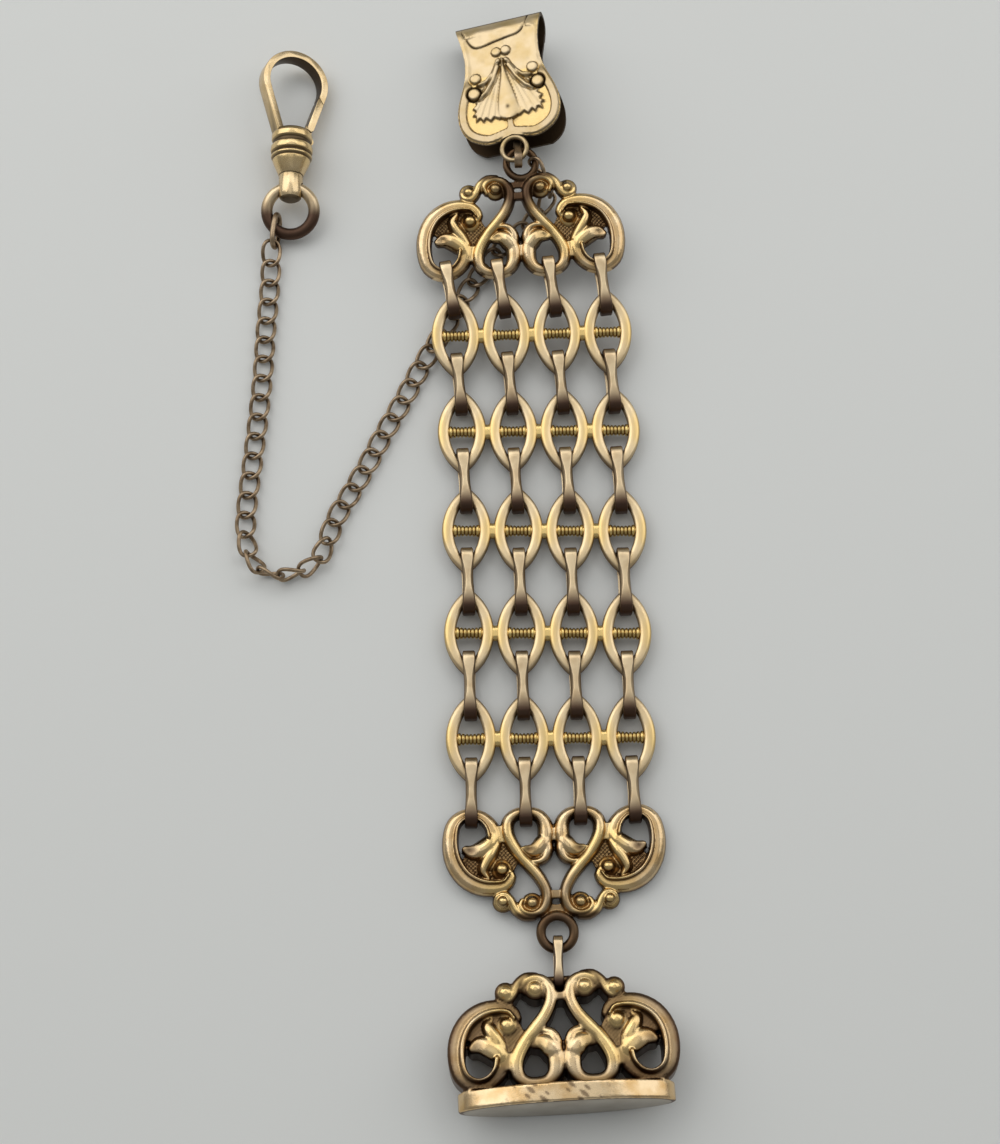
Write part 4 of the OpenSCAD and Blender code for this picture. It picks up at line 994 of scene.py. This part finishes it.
def cast_paint(wall, cup_shade, eye_dark=0.0, neck_dark=0.0):
    """Painted shade in the ground, in the leaves' hollows, low on the flanks and beside the crests;
    yellow where the scrolls meet; the eye and its neck can be darker."""
    def paint(places, normals):
        high = (np.abs(places[:, 2]) - wall) / PLATE_T
        if wall:
            high = high * 2
        across = np.abs(places[:, 0]) / COL_PITCH
        up = places[:, 1] / PLATE_H
        facing = normals[:, 2] * (np.sign(places[:, 2]) if wall else 1)
        low, clear = (0.50, 0.74) if wall else (0.30, 0.66)
        # Painted shade low down between the scrolls, on the ground and on the low walls.
        dark = np.where(facing > FLAT, GROUND_SHADE, STEEP_SHADE) * (1 - step(high, low, clear))
        # Painted shade on the flanks, which face sideways.
        dark = np.maximum(dark, SIDE_SHADE * (1 - step(facing, 0.15, 0.78)))
        # Painted shade in a band beside the crests, on faces that don't face up.
        beside = np.exp(-((high - 0.97) / 0.13) ** 2) * (1 - step(facing, 0.55, 0.92))
        dark = np.maximum(dark, CREST_SHADE * beside) * (up > 0.03)
        # Painted shade in the pressed hollows of the leaves.
        for spot_x, spot_y in DIMPLES:
            off = np.hypot((across - spot_x) * COL_PITCH, (up - spot_y) * PLATE_H) / DIMPLE_R
            dark = np.maximum(dark, cup_shade * np.exp(-off ** 2 * 0.9))
        dark = np.maximum(dark, eye_dark * step(up, 0.94, 1.00))
        neck = np.hypot(across * COL_PITCH, (up - NECK_Y) * PLATE_H)
        dark = np.maximum(dark, neck_dark * (1 - step(neck, NECK_NEAR, NECK_FAR)))
        if wall:
            foot = (1 - step(up, 0.08, 0.25)) * (0.95 - 0.50 * step(facing, 0.75, 0.97))
            dark = np.maximum(dark, foot)
            rim = (up < 0.02) & (normals[:, 2] > 0.2)
            x, y = places[:, 0], places[:, 1]
            spots = np.sin(1.3 * x + 0.6 + y) + np.sin(3.1 * x - 2 * y) + np.sin(6.7 * y + 5.3 * x)
            spots = SPOT_BROWN * step(spots, 0.9, 1.7) * (1 - step(np.abs(x + 1), 4, 7))
            dark = np.where(rim, spots, dark)
        yellow = (1 - step(np.abs(across - 0.85), 0.25, 0.75)) * step(up, 0.1, 0.3)
        return dark, MEETING_YELLOW * yellow
    return paint


# %% Plates
def plate(name, node, lay, turn, d, wire, x, cup_shade, neck_dark):
    """A plate with its eye: cast, chased, painted and placed."""
    made = bmesh.new()
    ornament(made)
    block(made, (0, PLATE_H * 0.93, PLATE_T * 0.22),
          (COL_PITCH * 0.36, PLATE_H * 0.06, PLATE_T * 0.4))
    wire_ring(made, (x, eye_y(d), wire / 2), d, wire)
    bmesh.ops.recalc_face_normals(made, faces=made.faces)
    made = chased(melted(made, VOXEL))
    shift, turned = lay
    finish_piece(name, made, [CAST_GILT], [node], sharp=180,
                 paint=cast_paint(0, cup_shade, EYE_BROWN, neck_dark),
                 matrix=placed(shift, (turned[0], turned[1], turned[2] + turn)))


# The grid of the melting in mm; the seal mount is bigger, so its grid is coarser.
VOXEL = 0.095
MOUNT_COARSER = 1.48
# The last two values are the painted shade in the leaves' hollows and the darkness of the neck.
plate("plate_top", "top_plate", TOP_LAY, 0, TOP_EYE_D, TOP_EYE_WIRE, TOP_EYE_X, 0.35, 0.95)
plate("plate_bottom", "bottom_plate", LOW_LAY, 180, EYE_D, EYE_WIRE, 0, 0.85, 0.5)

# %% [markdown]
# ## Seal mount and seal plate
# The mount of the seal is the same ornament cast in the round, with a face on both sides of
# a thick wall, soldered on an oval base. A grey plate for an engraving is let into the foot
# of the base. It could be a grey face of the base, but it is a piece of its own, so it is made
# as one, with a fine gap round it.

# %% Seal mount
FOB_T, BASE_W, BASE_D, BASE_H = 4.4, 23.3, 8.0, 1.8
SEAL_T, SEAL_GAP, FOB_TURN = 0.6, 0.08, 1.0
FOB_WALL = (FOB_T - PLATE_T) / 2
FOB_TILT = degrees(atan2((BASE_D - FOB_T) / 2, PLATE_H * 0.97))
FOB_BAR_D, FOB_BAR_Y = EYE_WIRE * 0.87, PLATE_H * 0.985
low_eye = unshifted(placed(LOW_LAY[0], (0, 0, LOW_LAY[1][2] + 180)),
                    (0, eye_y(EYE_D), EYE_WIRE / 2))
link_top = low_eye - Vector((0, EYE_D / 2 - EYE_WIRE - STRIP_T - RING_GAP * 2, 0))
LINK_HOLE = 3.1
FOB_TIP_Y = link_top.y - STRIP_T - RING_GAP - EYE_WIRE - LINK_HOLE
FOB_AT = Vector((-0.06 * COL_PITCH, FOB_TIP_Y - FOB_BAR_Y * cos(radians(FOB_TILT)),
                 BASE_D / 2 * cos(radians(FOB_TILT)) + BASE_H * 0.03))
fob_place = placed(FOB_AT, (-FOB_TILT, 0, FOB_TURN))


def oval_slab(bm, w, d, low, high, soft, steps=96):
    """An oval slab standing along Y from low to high, with soft rims."""
    def ring(y, shrink):
        return (y, w / 2 - shrink, d / 2 - shrink)
    rings = [ring(low, soft), ring(low + soft * 0.3, soft * 0.3), ring(low + soft, 0),
             ring(high - soft, 0), ring(high - soft * 0.3, soft * 0.3), ring(high, soft)]
    section = [(cos(2 * pi * k / steps), sin(2 * pi * k / steps)) for k in range(steps)]
    bar(bm, section, [station((0, y, 0), (0, 1, 0), wide=a, high=b) for y, a, b in rings])


# %% Casting the mount
mount = bmesh.new()
ornament(mount, FOB_WALL, two=True)
oval_slab(mount, BASE_W, BASE_D, -BASE_H, PLATE_H * 0.02, 0.16)
bar_verts = spun(mount, [(0, -0.25 * COL_PITCH), (FOB_BAR_D / 2, -0.25 * COL_PITCH),
                         (FOB_BAR_D / 2, 0.25 * COL_PITCH), (0, 0.25 * COL_PITCH)],
                 Matrix.Rotation(pi / 2, 4, "Y"), steps=24)
bmesh.ops.translate(mount, vec=(0, FOB_BAR_Y, 0), verts=bar_verts)
bmesh.ops.recalc_face_normals(mount, faces=mount.faces)
low_x, high_x = (f(v.co.x for v in mount.verts) for f in (min, max))
fob_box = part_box("fob_mount")
mount = chased(melted(mount, VOXEL * MOUNT_COARSER), FOB_WALL, 0.5)
# The mount gets the same painted shade as the plates, with 0.5 in the leaves' hollows.
finish_piece("seal_mount", mount, [CAST_GILT], ["fob_mount"], matrix=fob_place, sharp=180,
             paint=cast_paint(FOB_WALL, 0.5))
print("mount width", round(high_x - low_x, 2), "CAD", round((fob_box[1] - fob_box[0]).x / MM, 2))

# %% Seal plate
seal = bmesh.new()
oval_slab(seal, BASE_W * 0.965 - 2 * SEAL_GAP, BASE_D - BASE_W * 0.035 - 2 * SEAL_GAP,
          -BASE_H - SEAL_GAP * 0.5, -BASE_H + SEAL_T - SEAL_GAP, 0.10)
finish_piece("seal_face", seal, [GREY_PLATE], ["seal_plate"], matrix=fob_place, sharp=50)

# %% [markdown]
# ## Two single links
# A narrow strip link carries the seal, and a small ring joins the clip's eye to the top
# plate. Both could be wire rings, but the photograph shows flat strip, so they come from the
# same function as the rings of the band, with other sizes.

# %% Link of the seal
FOB_LINK_W = 1.1
fob_bar = unshifted(fob_place, (0, FOB_BAR_Y, 0))
down = (link_top - fob_bar).normalized()
link_foot = fob_bar - down * (FOB_BAR_D / 2 + RING_GAP + STRIP_T)
fob_link = bmesh.new()
link_long = (link_top - link_foot).length
strip_ring(fob_link, link_long, RING_H * 0.93, FOB_LINK_W, STRIP_T, 0.4 * RING_H * 0.93,
           waist=0.9, pinched=0.7, ends=1.0)
finish_piece("seal_link", fob_link, [BROWN_GILT], ["fob_link"], paint=ring_paint(link_long),
             matrix=ring_place(link_top, link_foot, RING_H * 0.93, FOB_LINK_W))

# %% Ring of the clip
CLIP_L, CLIP_W, CLIP_DEPTH, LEAF_T = 18.0, 9.2, 4.5, 0.45
CLIP_EYE_D, CLIP_EYE_WIRE, CLIP_RING_W, CLIP_RING_T = 3.6, 0.6, 0.95, STRIP_T * 0.8
CLIP_TURN, CLIP_TURN_MORE, CLIP_ROLL, SLACK = 3.3, 1.6, 13.0, 0.2
top_place = placed(*TOP_LAY)
top_eye = unshifted(top_place, (TOP_EYE_X, eye_y(TOP_EYE_D), TOP_EYE_WIRE / 2))
CLIP_AT = top_eye + Vector((-0.06 * PLATE_H, 0.112 * PLATE_H, CLIP_EYE_WIRE * 2.4))
clip_place = placed(CLIP_AT, (0, -CLIP_ROLL, CLIP_TURN))
CLIP_EYE_R = (CLIP_EYE_D - CLIP_EYE_WIRE) / 2
near = unshifted(clip_place, (0, -CLIP_EYE_R, 0))
far = unshifted(top_place, (TOP_EYE_X, eye_y(TOP_EYE_D) + (TOP_EYE_D - TOP_EYE_WIRE) / 2,
                            TOP_EYE_WIRE / 2))
mid_x = (near.x + far.x) / 2
a, b = Vector((mid_x, far.y, far.z)), Vector((mid_x, near.y, near.z))
reach = (a - b).normalized()
ring_tall = TOP_EYE_WIRE + 2 * (SLACK + CLIP_RING_T)
a, b = a + reach * ring_tall / 2, b - reach * (CLIP_EYE_WIRE / 2 + SLACK + CLIP_RING_T)
clip_ring = bmesh.new()
strip_ring(clip_ring, (a - b).length, ring_tall, CLIP_RING_W, CLIP_RING_T, 0.49 * ring_tall,
           waist=0.95, pinched=0.9, ends=1.0)
finish_piece("ring_of_clip", clip_ring, [DARK_WIRE], ["clip_ring"],
             matrix=ring_place(a, b, ring_tall, CLIP_RING_W))

# %% [markdown]
# ## Side chain
# A curb chain: each link is a flattened loop of wire, twisted a quarter so that the next link
# lies flat too. Its places follow the CAD chain exactly: the CAD solid is copied, and the rough
# loops in it are rounded by subdivision. Drawing new links along a curve was the other way,
# but then two scripts would have to agree on every turn of it.

# %% Chain
CAD_MERGE = 0.0005


def from_cad(node):
    """A merged copy of a CAD node in millimetres."""
    bm = bmesh.new()
    bm.from_mesh(frame["nodes"][node].data)
    bmesh.ops.scale(bm, vec=(1 / MM,) * 3, verts=bm.verts)
    bmesh.ops.remove_doubles(bm, verts=bm.verts, dist=CAD_MERGE)
    bmesh.ops.recalc_face_normals(bm, faces=bm.faces)
    return bm


def wire_rounded(bm, swell, levels=2):
    """Rounds a coarse tube of wire; swell makes up for what subdivision takes off."""
    bmesh.ops.join_triangles(bm, faces=bm.faces, angle_face_threshold=pi,
                             angle_shape_threshold=pi)
    for vert in bm.verts:
        vert.co += vert.normal * swell
    worked = object_of(bm)
    subdivide = worked.modifiers.new("round", "SUBSURF")
    subdivide.levels = subdivide.render_levels = levels
    return modified(worked)


CHAIN_WIRE = 0.48
CHAIN_SWELL, RING_SWELL = CHAIN_WIRE * 0.14, 0.05
chain = wire_rounded(from_cad("watch_chain"), CHAIN_SWELL)
finish_piece("side_chain", chain, [DARK_WIRE], ["watch_chain"], sharp=180)
end_ring = wire_rounded(from_cad("chain_ring"), RING_SWELL)
finish_piece("chain_end_ring", end_ring, [DARK_WIRE], ["chain_ring"], sharp=180)

# %% [markdown]
# ## Waist clip
# The clip is one strip of thin sheet: stamped with a leaf, folded over at the top, its back
# leaf bent to pinch a belt. It could be a thick block with a relief on top, but the photograph
# shows the sheet's edge. So a fine grid is laid along the clip's side view, gets its thickness,
# and then both faces are raised alike by the stamping. The outline is trimmed last by a die.

# %% Clip tables
# Half width in clip widths at a distance from the eye in clip lengths.
CLIP_OUTLINE = ((1.000, 0.587), (0.940, 0.570), (0.860, 0.535), (0.770, 0.507), (0.680, 0.500),
                (0.600, 0.518), (0.530, 0.555), (0.460, 0.607), (0.380, 0.660), (0.290, 0.685),
                (0.205, 0.660), (0.140, 0.587), (0.095, 0.467), (0.070, 0.326), (0.078, 0.175),
                (0.100, 0.000))
# Distance from the eye in clip lengths and depth behind the front in clip depths.
BACK_LEAF = ((0.870, 0.950), (0.800, 0.900), (0.720, 0.700), (0.640, 0.440), (0.570, 0.300),
             (0.500, 0.330), (0.400, 0.520), (0.280, 0.760), (0.160, 0.920), (0.090, 0.950))
BOSSES = ((0.064, 0.752, 0.070), (0.385, 0.588, 0.078), (0.430, 0.478, 0.086))
LEAF_EDGE = ((0.00, 0.700), (0.06, 0.690), (0.20, 0.600), (0.33, 0.530), (0.38, 0.470),
             (0.375, 0.43), (0.46, 0.435), (0.42, 0.400), (0.49, 0.372), (0.44, 0.345),
             (0.51, 0.320), (0.45, 0.308), (0.46, 0.262), (0.39, 0.285), (0.35, 0.250),
             (0.31, 0.276), (0.25, 0.246), (0.20, 0.272), (0.13, 0.248), (0.06, 0.268),
             (0.00, 0.280))
# Lines across (signed, in clip widths) and up (in clip lengths).
SMILE = ((-0.49, 0.955), (-0.40, 0.850), (-0.30, 0.815), (-0.10, 0.832), (0.08, 0.850),
         (0.24, 0.862), (0.34, 0.905), (0.40, 0.985))
TENDRIL = ((0.05, 0.685), (0.14, 0.600), (0.24, 0.548), (0.33, 0.540), (0.40, 0.560))
TENDRIL_LOW = ((0.07, 0.640), (0.16, 0.545), (0.27, 0.470), (0.36, 0.440), (0.42, 0.445))
RELIEF_DOWN, RIB_ANGLE, FAN_TOP = 0.028, 6.0, 0.70
# Heights and depths of the stamping in mm.
BORDER_UP, FIELD_DOWN, FIELD_GRAIN, DENT = 0.26, 0.10, 0.030, 0.035
LEAF_UP, RIB_UP, LEAF_SWELL, DROP_UP, DROP_BULGE, STEM_UP = 0.22, 0.09, 0.06, 0.34, 0.24, 0.26
BOSS_UP, BOSS_GROOVE, TENDRIL_GROOVE, SMILE_DOWN, SIDE_UP = 0.34, 0.22, 0.16, 0.15, 0.10
print("clip outline points:", len(CLIP_OUTLINE), "leaf points:", len(LEAF_EDGE))

# %% [markdown]
# ## Stamping the leaf
# The stamping shows a ribbed leaf with a smooth drop down its middle, tendrils, round bosses
# and a raised border. It could be sculpted or taken from a picture, but a height worked out
# from distances to a few lines stays sharp at any size and is easy to change.

# %% Distances to lines
def along_line(x, y, line, mirrored=True):
    """Distance in mm from points to a line given in clip widths and lengths."""
    xs = np.abs(x) if mirrored else x
    best = np.full(x.shape, 1e9)
    points = [(px * CLIP_W, py * CLIP_L) for px, py in line]
    for (ax, ay), (bx, by) in zip(points, points[1:]):
        dx, dy = bx - ax, by - ay
        t = np.clip(((xs - ax) * dx + (y - ay) * dy) / (dx * dx + dy * dy), 0, 1)
        best = np.minimum(best, np.hypot(xs - ax - t * dx, y - ay - t * dy))
    return best


def inside_line(x, y, line):
    """True where points lie inside a closed line of the right half."""
    xs, count = np.abs(x) + 1e-4, np.zeros(x.shape, int)
    points = [(px * CLIP_W, py * CLIP_L) for px, py in line]
    for (ax, ay), (bx, by) in zip(points, points[1:] + points[:1]):
        if ay == by:
            continue
        crosses = (np.minimum(ay, by) <= y) & (y < np.maximum(ay, by))
        count += crosses & (xs < ax + (y - ay) * (bx - ax) / (by - ay))
    return count % 2 == 1


# %% Relief
def relief(x, y):
    """Height in mm of the clip's front over its plain sheet."""
    X, Y = np.abs(x) / CLIP_W, y / CLIP_L + RELIEF_DOWN
    y = Y * CLIP_L
    rim = [(w, l) for l, w in reversed(smooth_path([(l, w) for l, w in CLIP_OUTLINE], 2))]
    edge = along_line(x, y - RELIEF_DOWN * CLIP_L, rim)
    # The raised border and the low field inside it.
    border = step(edge, 0.0, 0.25) * (1 - step(edge, 0.95, 1.20))
    height = BORDER_UP * border * (1 - step(Y, 0.52, 0.62))
    height -= FIELD_DOWN * step(edge, 1.1, 1.3) * (1 - step(Y, 0.50, 0.60))

    # The leaf, whose ribs fan out from its top.
    fan_x, fan_y = X * CLIP_W, (FAN_TOP - Y) * CLIP_L
    angle = np.degrees(np.arctan2(fan_x, np.maximum(fan_y, 0.05)))
    far_off = np.hypot(fan_x, fan_y)
    leaf = np.where(inside_line(x, y, LEAF_EDGE), along_line(x, y, LEAF_EDGE), 0.0)
    ribs = np.abs(np.sin(np.radians(angle * 180 / RIB_ANGLE))) ** 0.6
    lift = LEAF_UP + RIB_UP * ribs * step(far_off, 0.8, 3.0) + LEAF_SWELL * step(far_off, 4.5, 8.5)
    height = np.maximum(height, lift * step(leaf, 0.0, 0.22))

    # The smooth drop down its middle and the stem below.
    drop = (0.015 + 0.120 * step(FAN_TOP - Y, 0.02, 0.40)) * CLIP_W
    drop = np.where(Y > 0.285, drop, drop * np.sqrt(np.clip(1 - ((0.285 - Y) / 0.045) ** 2, 0, 1)))
    bulge = np.sqrt(np.clip(1 - (np.abs(x) / np.maximum(drop, 1e-3)) ** 2, 0, 1))
    in_drop = (Y < FAN_TOP) & (Y > 0.24) & (bulge > 0)
    height = np.maximum(height, np.where(in_drop, DROP_UP + DROP_BULGE * bulge, 0))
    stem = (0.04 + 0.15 * step(0.21 - Y, 0.0, 0.13)) * CLIP_W
    height = np.maximum(height, STEM_UP * (1 - step(np.abs(x), stem * 0.75, stem * 1.1))
                        * (1 - step(Y, 0.24, 0.28)))

    # Tendrils and bosses, each with a groove round it.
    for line, wide, tall in ((TENDRIL, 0.34, 0.42), (TENDRIL_LOW, 0.30, 0.40)):
        d = along_line(x, y, line)
        height = np.maximum(height, tall * np.sqrt(np.clip(1 - (d / wide) ** 2, 0, 1)))
        height -= TENDRIL_GROOVE * np.exp(-((d - wide * 1.25) / 0.13) ** 2)
    for across, up, radius in BOSSES:
        d = np.hypot(X * CLIP_W - across * CLIP_W, (Y - up) * CLIP_L) / (radius * CLIP_W)
        height = np.where(d < 1.25, height * step(d, 1.0, 1.25), height)
        height = np.maximum(height, BOSS_UP * np.clip(1 - d ** 6, 0, 1) ** 0.5)
        height -= BOSS_GROOVE * np.exp(-((d - 1.12) / 0.13) ** 2)

    # The cut line under the fold, the ridges at the sides, dents of wear and the stipple.
    smile = along_line(x, y, smooth_path(SMILE, 4), mirrored=False)
    height -= SMILE_DOWN * np.exp(-(smile / 0.09) ** 2)
    side = edge * step(Y, 0.50, 0.60) * (1 - step(Y, 0.86, 0.93))
    height += SIDE_UP * np.exp(-((side - 0.35) / 0.25) ** 2) * step(Y, 0.52, 0.62)
    dents = np.sin(x * 2.3 + 0.7) * np.sin(y * 1.9 + 0.3 * x) * DENT
    height += dents * step(Y, 0.55, 0.65) * (1 - step(Y, 0.90, 0.97))
    ground = (edge > 1.15) & (leaf <= 0) & (Y < 0.56) & (height < 0.02)
    grains = np.sin(x * 19) * np.sin(y * 19 + 1.7 * np.sin(x * 9))
    return height + np.where(ground, FIELD_GRAIN * grains, 0)


on_drop = relief(np.zeros(1), np.full(1, CLIP_L * 0.3))[0]
print("the drop stands", round(float(on_drop), 2), "mm high")

# %% [markdown]
# ## Bending the sheet
# The front is flat, the top is a round fold and the back leaf springs back towards the front.
# A bend modifier can make a fold, but not this side view, so the rows of a grid are laid along
# the line of the side view, given their thickness, and raised by the stamping on both faces.

# %% Side view of the clip
FOLD_R = CLIP_DEPTH / 2
FOLD_Y = CLIP_L - FOLD_R
FOLD_STEPS, FOLD_OVER, SHEET_FOOT = 24, 0.34, 0.045


def side_view(fine):
    """Points of the sheet's outer face in side view, from the foot of the front over the fold
    to the end of the back leaf; z is up from the front."""
    low = SHEET_FOOT * CLIP_L
    count = round((FOLD_Y - low) / fine)
    line = [(low + (FOLD_Y - low) * k / count, 0.0) for k in range(count)]
    end = pi + asin(FOLD_OVER)
    for k in range(FOLD_STEPS):
        a = end * k / FOLD_STEPS
        line.append((FOLD_Y + FOLD_R * sin(a), -FOLD_R + FOLD_R * cos(a)))
    return line + [(y * CLIP_L, -d * CLIP_DEPTH) for y, d in smooth_path(BACK_LEAF, 4)[1:]]


# %% Clip sheet
FINE = 0.10
view = side_view(FINE)
GRID_HALF_W, FOLD_PLAIN = 0.72 * CLIP_W, 0.4
across = round(2 * GRID_HALF_W / FINE)
leaf = bmesh.new()
bmesh.ops.create_grid(leaf, x_segments=across, y_segments=len(view) - 1, size=1)
leaf.verts.ensure_lookup_table()
for vert in leaf.verts:
    y, z = view[round((vert.co.y + 1) / 2 * (len(view) - 1))]
    vert.co = (vert.co.x * GRID_HALF_W, y, z)
leaf.normal_update()
if sum(f.normal.z for f in leaf.faces if f.calc_center_median().z > -0.1) < 0:
    bmesh.ops.reverse_faces(leaf, faces=leaf.faces)
    leaf.normal_update()
bmesh.ops.solidify(leaf, geom=leaf.faces[:], thickness=LEAF_T)

# %% Raising the stamping
# Both faces of the sheet are raised alike, straight up on the front and outwards in the fold.
xs, ys, zs = np.array([v.co for v in leaf.verts]).T
folded = ys > FOLD_Y
turned = np.where(folded, np.arctan2(ys - FOLD_Y, zs + FOLD_R), 0.0)
front = np.where(folded, np.cos(turned) > FOLD_PLAIN, zs > -2 * LEAF_T)
along = np.where(folded, FOLD_Y + FOLD_R * np.sin(turned), ys)
raised = np.where(front, relief(xs, along), 0.0)
for vert, angle, up in zip(leaf.verts, turned, raised):
    vert.co += Vector((0, sin(angle), cos(angle))) * up
print("clip rows", len(view), "relief from", round(raised.min(), 2), "to", round(raised.max(), 2))

# %% [markdown]
# ## Trimming the leaf
# The real blank was cut by a die in one stroke. Here a die with the clip's outline is cut
# across the bent sheet by a boolean, which also keeps the walls closed; deleting the faces
# outside the outline would leave a jagged, open edge. Then the round eye is added.

# %% Die of the clip
def trimmed(bm, die):
    """What two closed shapes have in common."""
    body, blade = object_of(bm), object_of(die)
    modifier = body.modifiers.new("trim", "BOOLEAN")
    modifier.operation = "INTERSECT"
    modifier.object = blade
    modifier.solver = "EXACT"
    modifier.use_self = True
    out = modified(body)
    bpy.data.objects.remove(blade)
    return out


DIE_TOP = 1.05


def clip_die():
    """A tall prism with the clip's outline, reaching past the fold."""
    die = bmesh.new()
    half = [(w * CLIP_W, l * CLIP_L) for l, w in smooth_path(CLIP_OUTLINE, 3)]
    outline = half + [(-x, y) for x, y in half[-2::-1]]
    outline[0] = (outline[0][0], CLIP_L * DIE_TOP)
    outline[-1] = (-outline[0][0], CLIP_L * DIE_TOP)
    face = die.faces.new([die.verts.new((x, y, -2 * CLIP_DEPTH)) for x, y in outline])
    grown = bmesh.ops.extrude_face_region(die, geom=[face])["geom"]
    bmesh.ops.translate(die, vec=(0, 0, 4 * CLIP_DEPTH), verts=only(VERT, grown))
    bmesh.ops.recalc_face_normals(die, faces=die.faces)
    return die


# %% Trimming the clip
leaf = trimmed(leaf, clip_die())
wire_ring(leaf, (0, 0, 0), CLIP_EYE_D, CLIP_EYE_WIRE)
print("clip faces after trimming:", len(leaf.faces))

# %% Painted shade and colour of the clip
CLIP_GILT = gilt("clip_gilt", (0.70, 0.55, 0.34), (0.60, 0.43, 0.19), (0.07, 0.045, 0.025),
                 rough=0.40, reach=0.8, hollow=(0.35, 0.90), cloud=0.8)
# The cut, rib, slope and back values are painted shade; the drop has a dark spot.
CUT_SHADE, RIB_SHADE, SPOT_ON_DROP, SLOPE_SHADE = 0.95, 0.5, 0.9, 0.75
BACK_SHADE, FIELD_YELLOW = 1.0, 0.8


def clip_paint(places, normals):
    """Painted shade in the cut lines, between the ribs, on the slopes and behind; a dark spot on
    the drop; yellow on the stippled field.
    """
    x, y, z = places.T
    low = relief(x, y)
    front = (z > -0.6) & (normals[:, 2] > 0)
    between = (1 - step(low, 0.22, 0.28)) * step(low, 0.10, 0.16) * (y < 0.66 * CLIP_L)
    spot = np.exp(-(x / 0.22) ** 2 - ((y - 0.30 * CLIP_L) / 0.25) ** 2)
    slope = 1 - step(normals[:, 2], 0.55, 0.90)
    # Painted shade in the cut lines, between the ribs and on the slopes, with a dark spot on the
    # drop.
    shade_and_spot = np.maximum.reduce([CUT_SHADE * step(-low, 0.02, 0.10), RIB_SHADE * between,
                              SPOT_ON_DROP * spot, SLOPE_SHADE * slope])
    # Painted shade over the back leaf and every face turned away from the front.
    dark = np.where(front, shade_and_spot, BACK_SHADE)
    yellow = np.where(front & (y < 0.56 * CLIP_L), 1 - step(low, 0.0, 0.16), 0)
    return dark, FIELD_YELLOW * yellow


finish_piece("waist_clip_sheet", leaf, [CLIP_GILT], ["waist_clip"], sharp=40, paint=clip_paint,
             matrix=placed(CLIP_AT, (0, -CLIP_ROLL, CLIP_TURN + CLIP_TURN_MORE)))

# %% [markdown]
# ## Swivel clasp
# The side chain ends in a ring, a turned stem with a swivel, and a spring hook with a gate.
# They could be spun and bent anew, but the CAD solids already have the turned profile, the
# bent strip and the slanted cut where the gate meets the hook. So they are copied, their
# sharp edges are rounded, and painted shade is put inside the hook, in the grooves and on the end
# faces.

# %% Clasp values
COLLAR_D, HOOK_ROLL, CLASP_TURN, COLLAR_Y = 5.1, 25.0, -2.4, 6.9
CHAIN_END = (-30.95, 36.2)
CLASP_AT = (CHAIN_END[0] + 2.55, CHAIN_END[1] + 8.2, COLLAR_D / 2 + 0.06)
hook_frame = placed(CLASP_AT, (0, HOOK_ROLL, CLASP_TURN)).inverted()
eye_middle = hook_frame @ (Vector(record["mounts"][0]["pos_m"]) / MM)
GROOVE_R, BEAD_R, BEADS_FROM = COLLAR_D / 2 * 0.865, COLLAR_D / 2 * 0.94, 3.2
# The inside, collar-groove and end values are painted shade.
INSIDE_SHADE, COLLAR_GROOVE_SHADE, RIM_BROWN, END_SHADE, RING_BROWN = 0.97, 0.92, 0.5, 0.85, 0.97
COLLAR_YELLOW = 0.35
print("hook's eye is", round(eye_middle.y, 2), "mm from the clasp's foot")


# %% Painted shade and colour of the clasp
def in_hook(places, normals):
    """Places and normals in the hook's own directions."""
    turn = np.array(hook_frame.to_3x3())
    return places @ turn.T + np.array(hook_frame.translation), normals @ turn.T


def hook_paint(places, normals):
    """Painted shade: nearly black inside the hook, brown in the grooves of the collar and on end
    faces.
    """
    at, facing = in_hook(places, normals)
    x, y, z = at.T
    off = np.stack([x, y - eye_middle.y], axis=1)
    off /= np.maximum(np.linalg.norm(off, axis=1, keepdims=True), 1e-6)
    inwards = -(off * facing[:, :2]).sum(axis=1)
    # Painted shade on the faces inside the hook.
    dark = np.where(y > COLLAR_Y, INSIDE_SHADE * step(inwards, 0.15, 0.55), 0)
    # Painted shade in the grooves of the collar.
    groove = COLLAR_GROOVE_SHADE * (1 - step(np.hypot(x, z), GROOVE_R, BEAD_R))
    rim = RIM_BROWN * step(y, COLLAR_Y - 0.7, COLLAR_Y - 0.1)
    dark = np.where((y > BEADS_FROM) & (y <= COLLAR_Y), np.maximum(groove, rim), dark)
    # Painted shade on the end faces, which face down the stem.
    dark = np.maximum(dark, END_SHADE * step(-facing[:, 1], 0.5, 0.9))
    return dark, COLLAR_YELLOW * step(y, 1.0, 3.0) * (y < COLLAR_Y)


def swivel_paint(places, normals):
    """The ring goes brown to black on its half away from the stem."""
    at = in_hook(places, normals)[0]
    low, high = at[:, 1].min(), at[:, 1].max()
    share = (high - at[:, 1]) / (high - low)
    return RING_BROWN * step(share, 0.28, 0.62), 0 * share


# %% Pieces of the clasp
def softened(bm, width, angle=28, segments=2):
    """Rounds the edges sharper than an angle."""
    bmesh.ops.dissolve_limit(bm, angle_limit=radians(0.6), verts=bm.verts, edges=bm.edges)
    sharp = [e for e in bm.edges if e.is_manifold and e.calc_face_angle(0) > radians(angle)]
    bmesh.ops.bevel(bm, geom=sharp, offset=width, affect="EDGES", segments=segments,
                    profile=0.5, material=-1, clamp_overlap=True)
    return bm


for name, node, width in (("clasp_gate", "gate", 0.07), ("clasp_hook", "swivel_hook", 0.09),
                          ("clasp_stem", "swivel_stem", 0.07)):
    body = {"gate": "gate", "swivel_hook": "hook"}.get(node, "root")
    finish_piece(name, softened(from_cad(node), width), [CLASP_GILT], [node], body=body,
                 paint=hook_paint)
ring = from_cad("swivel_ring")
finish_piece("clasp_ring", ring, [BROWN_GILT], ["swivel_ring"], sharp=180, paint=swivel_paint)
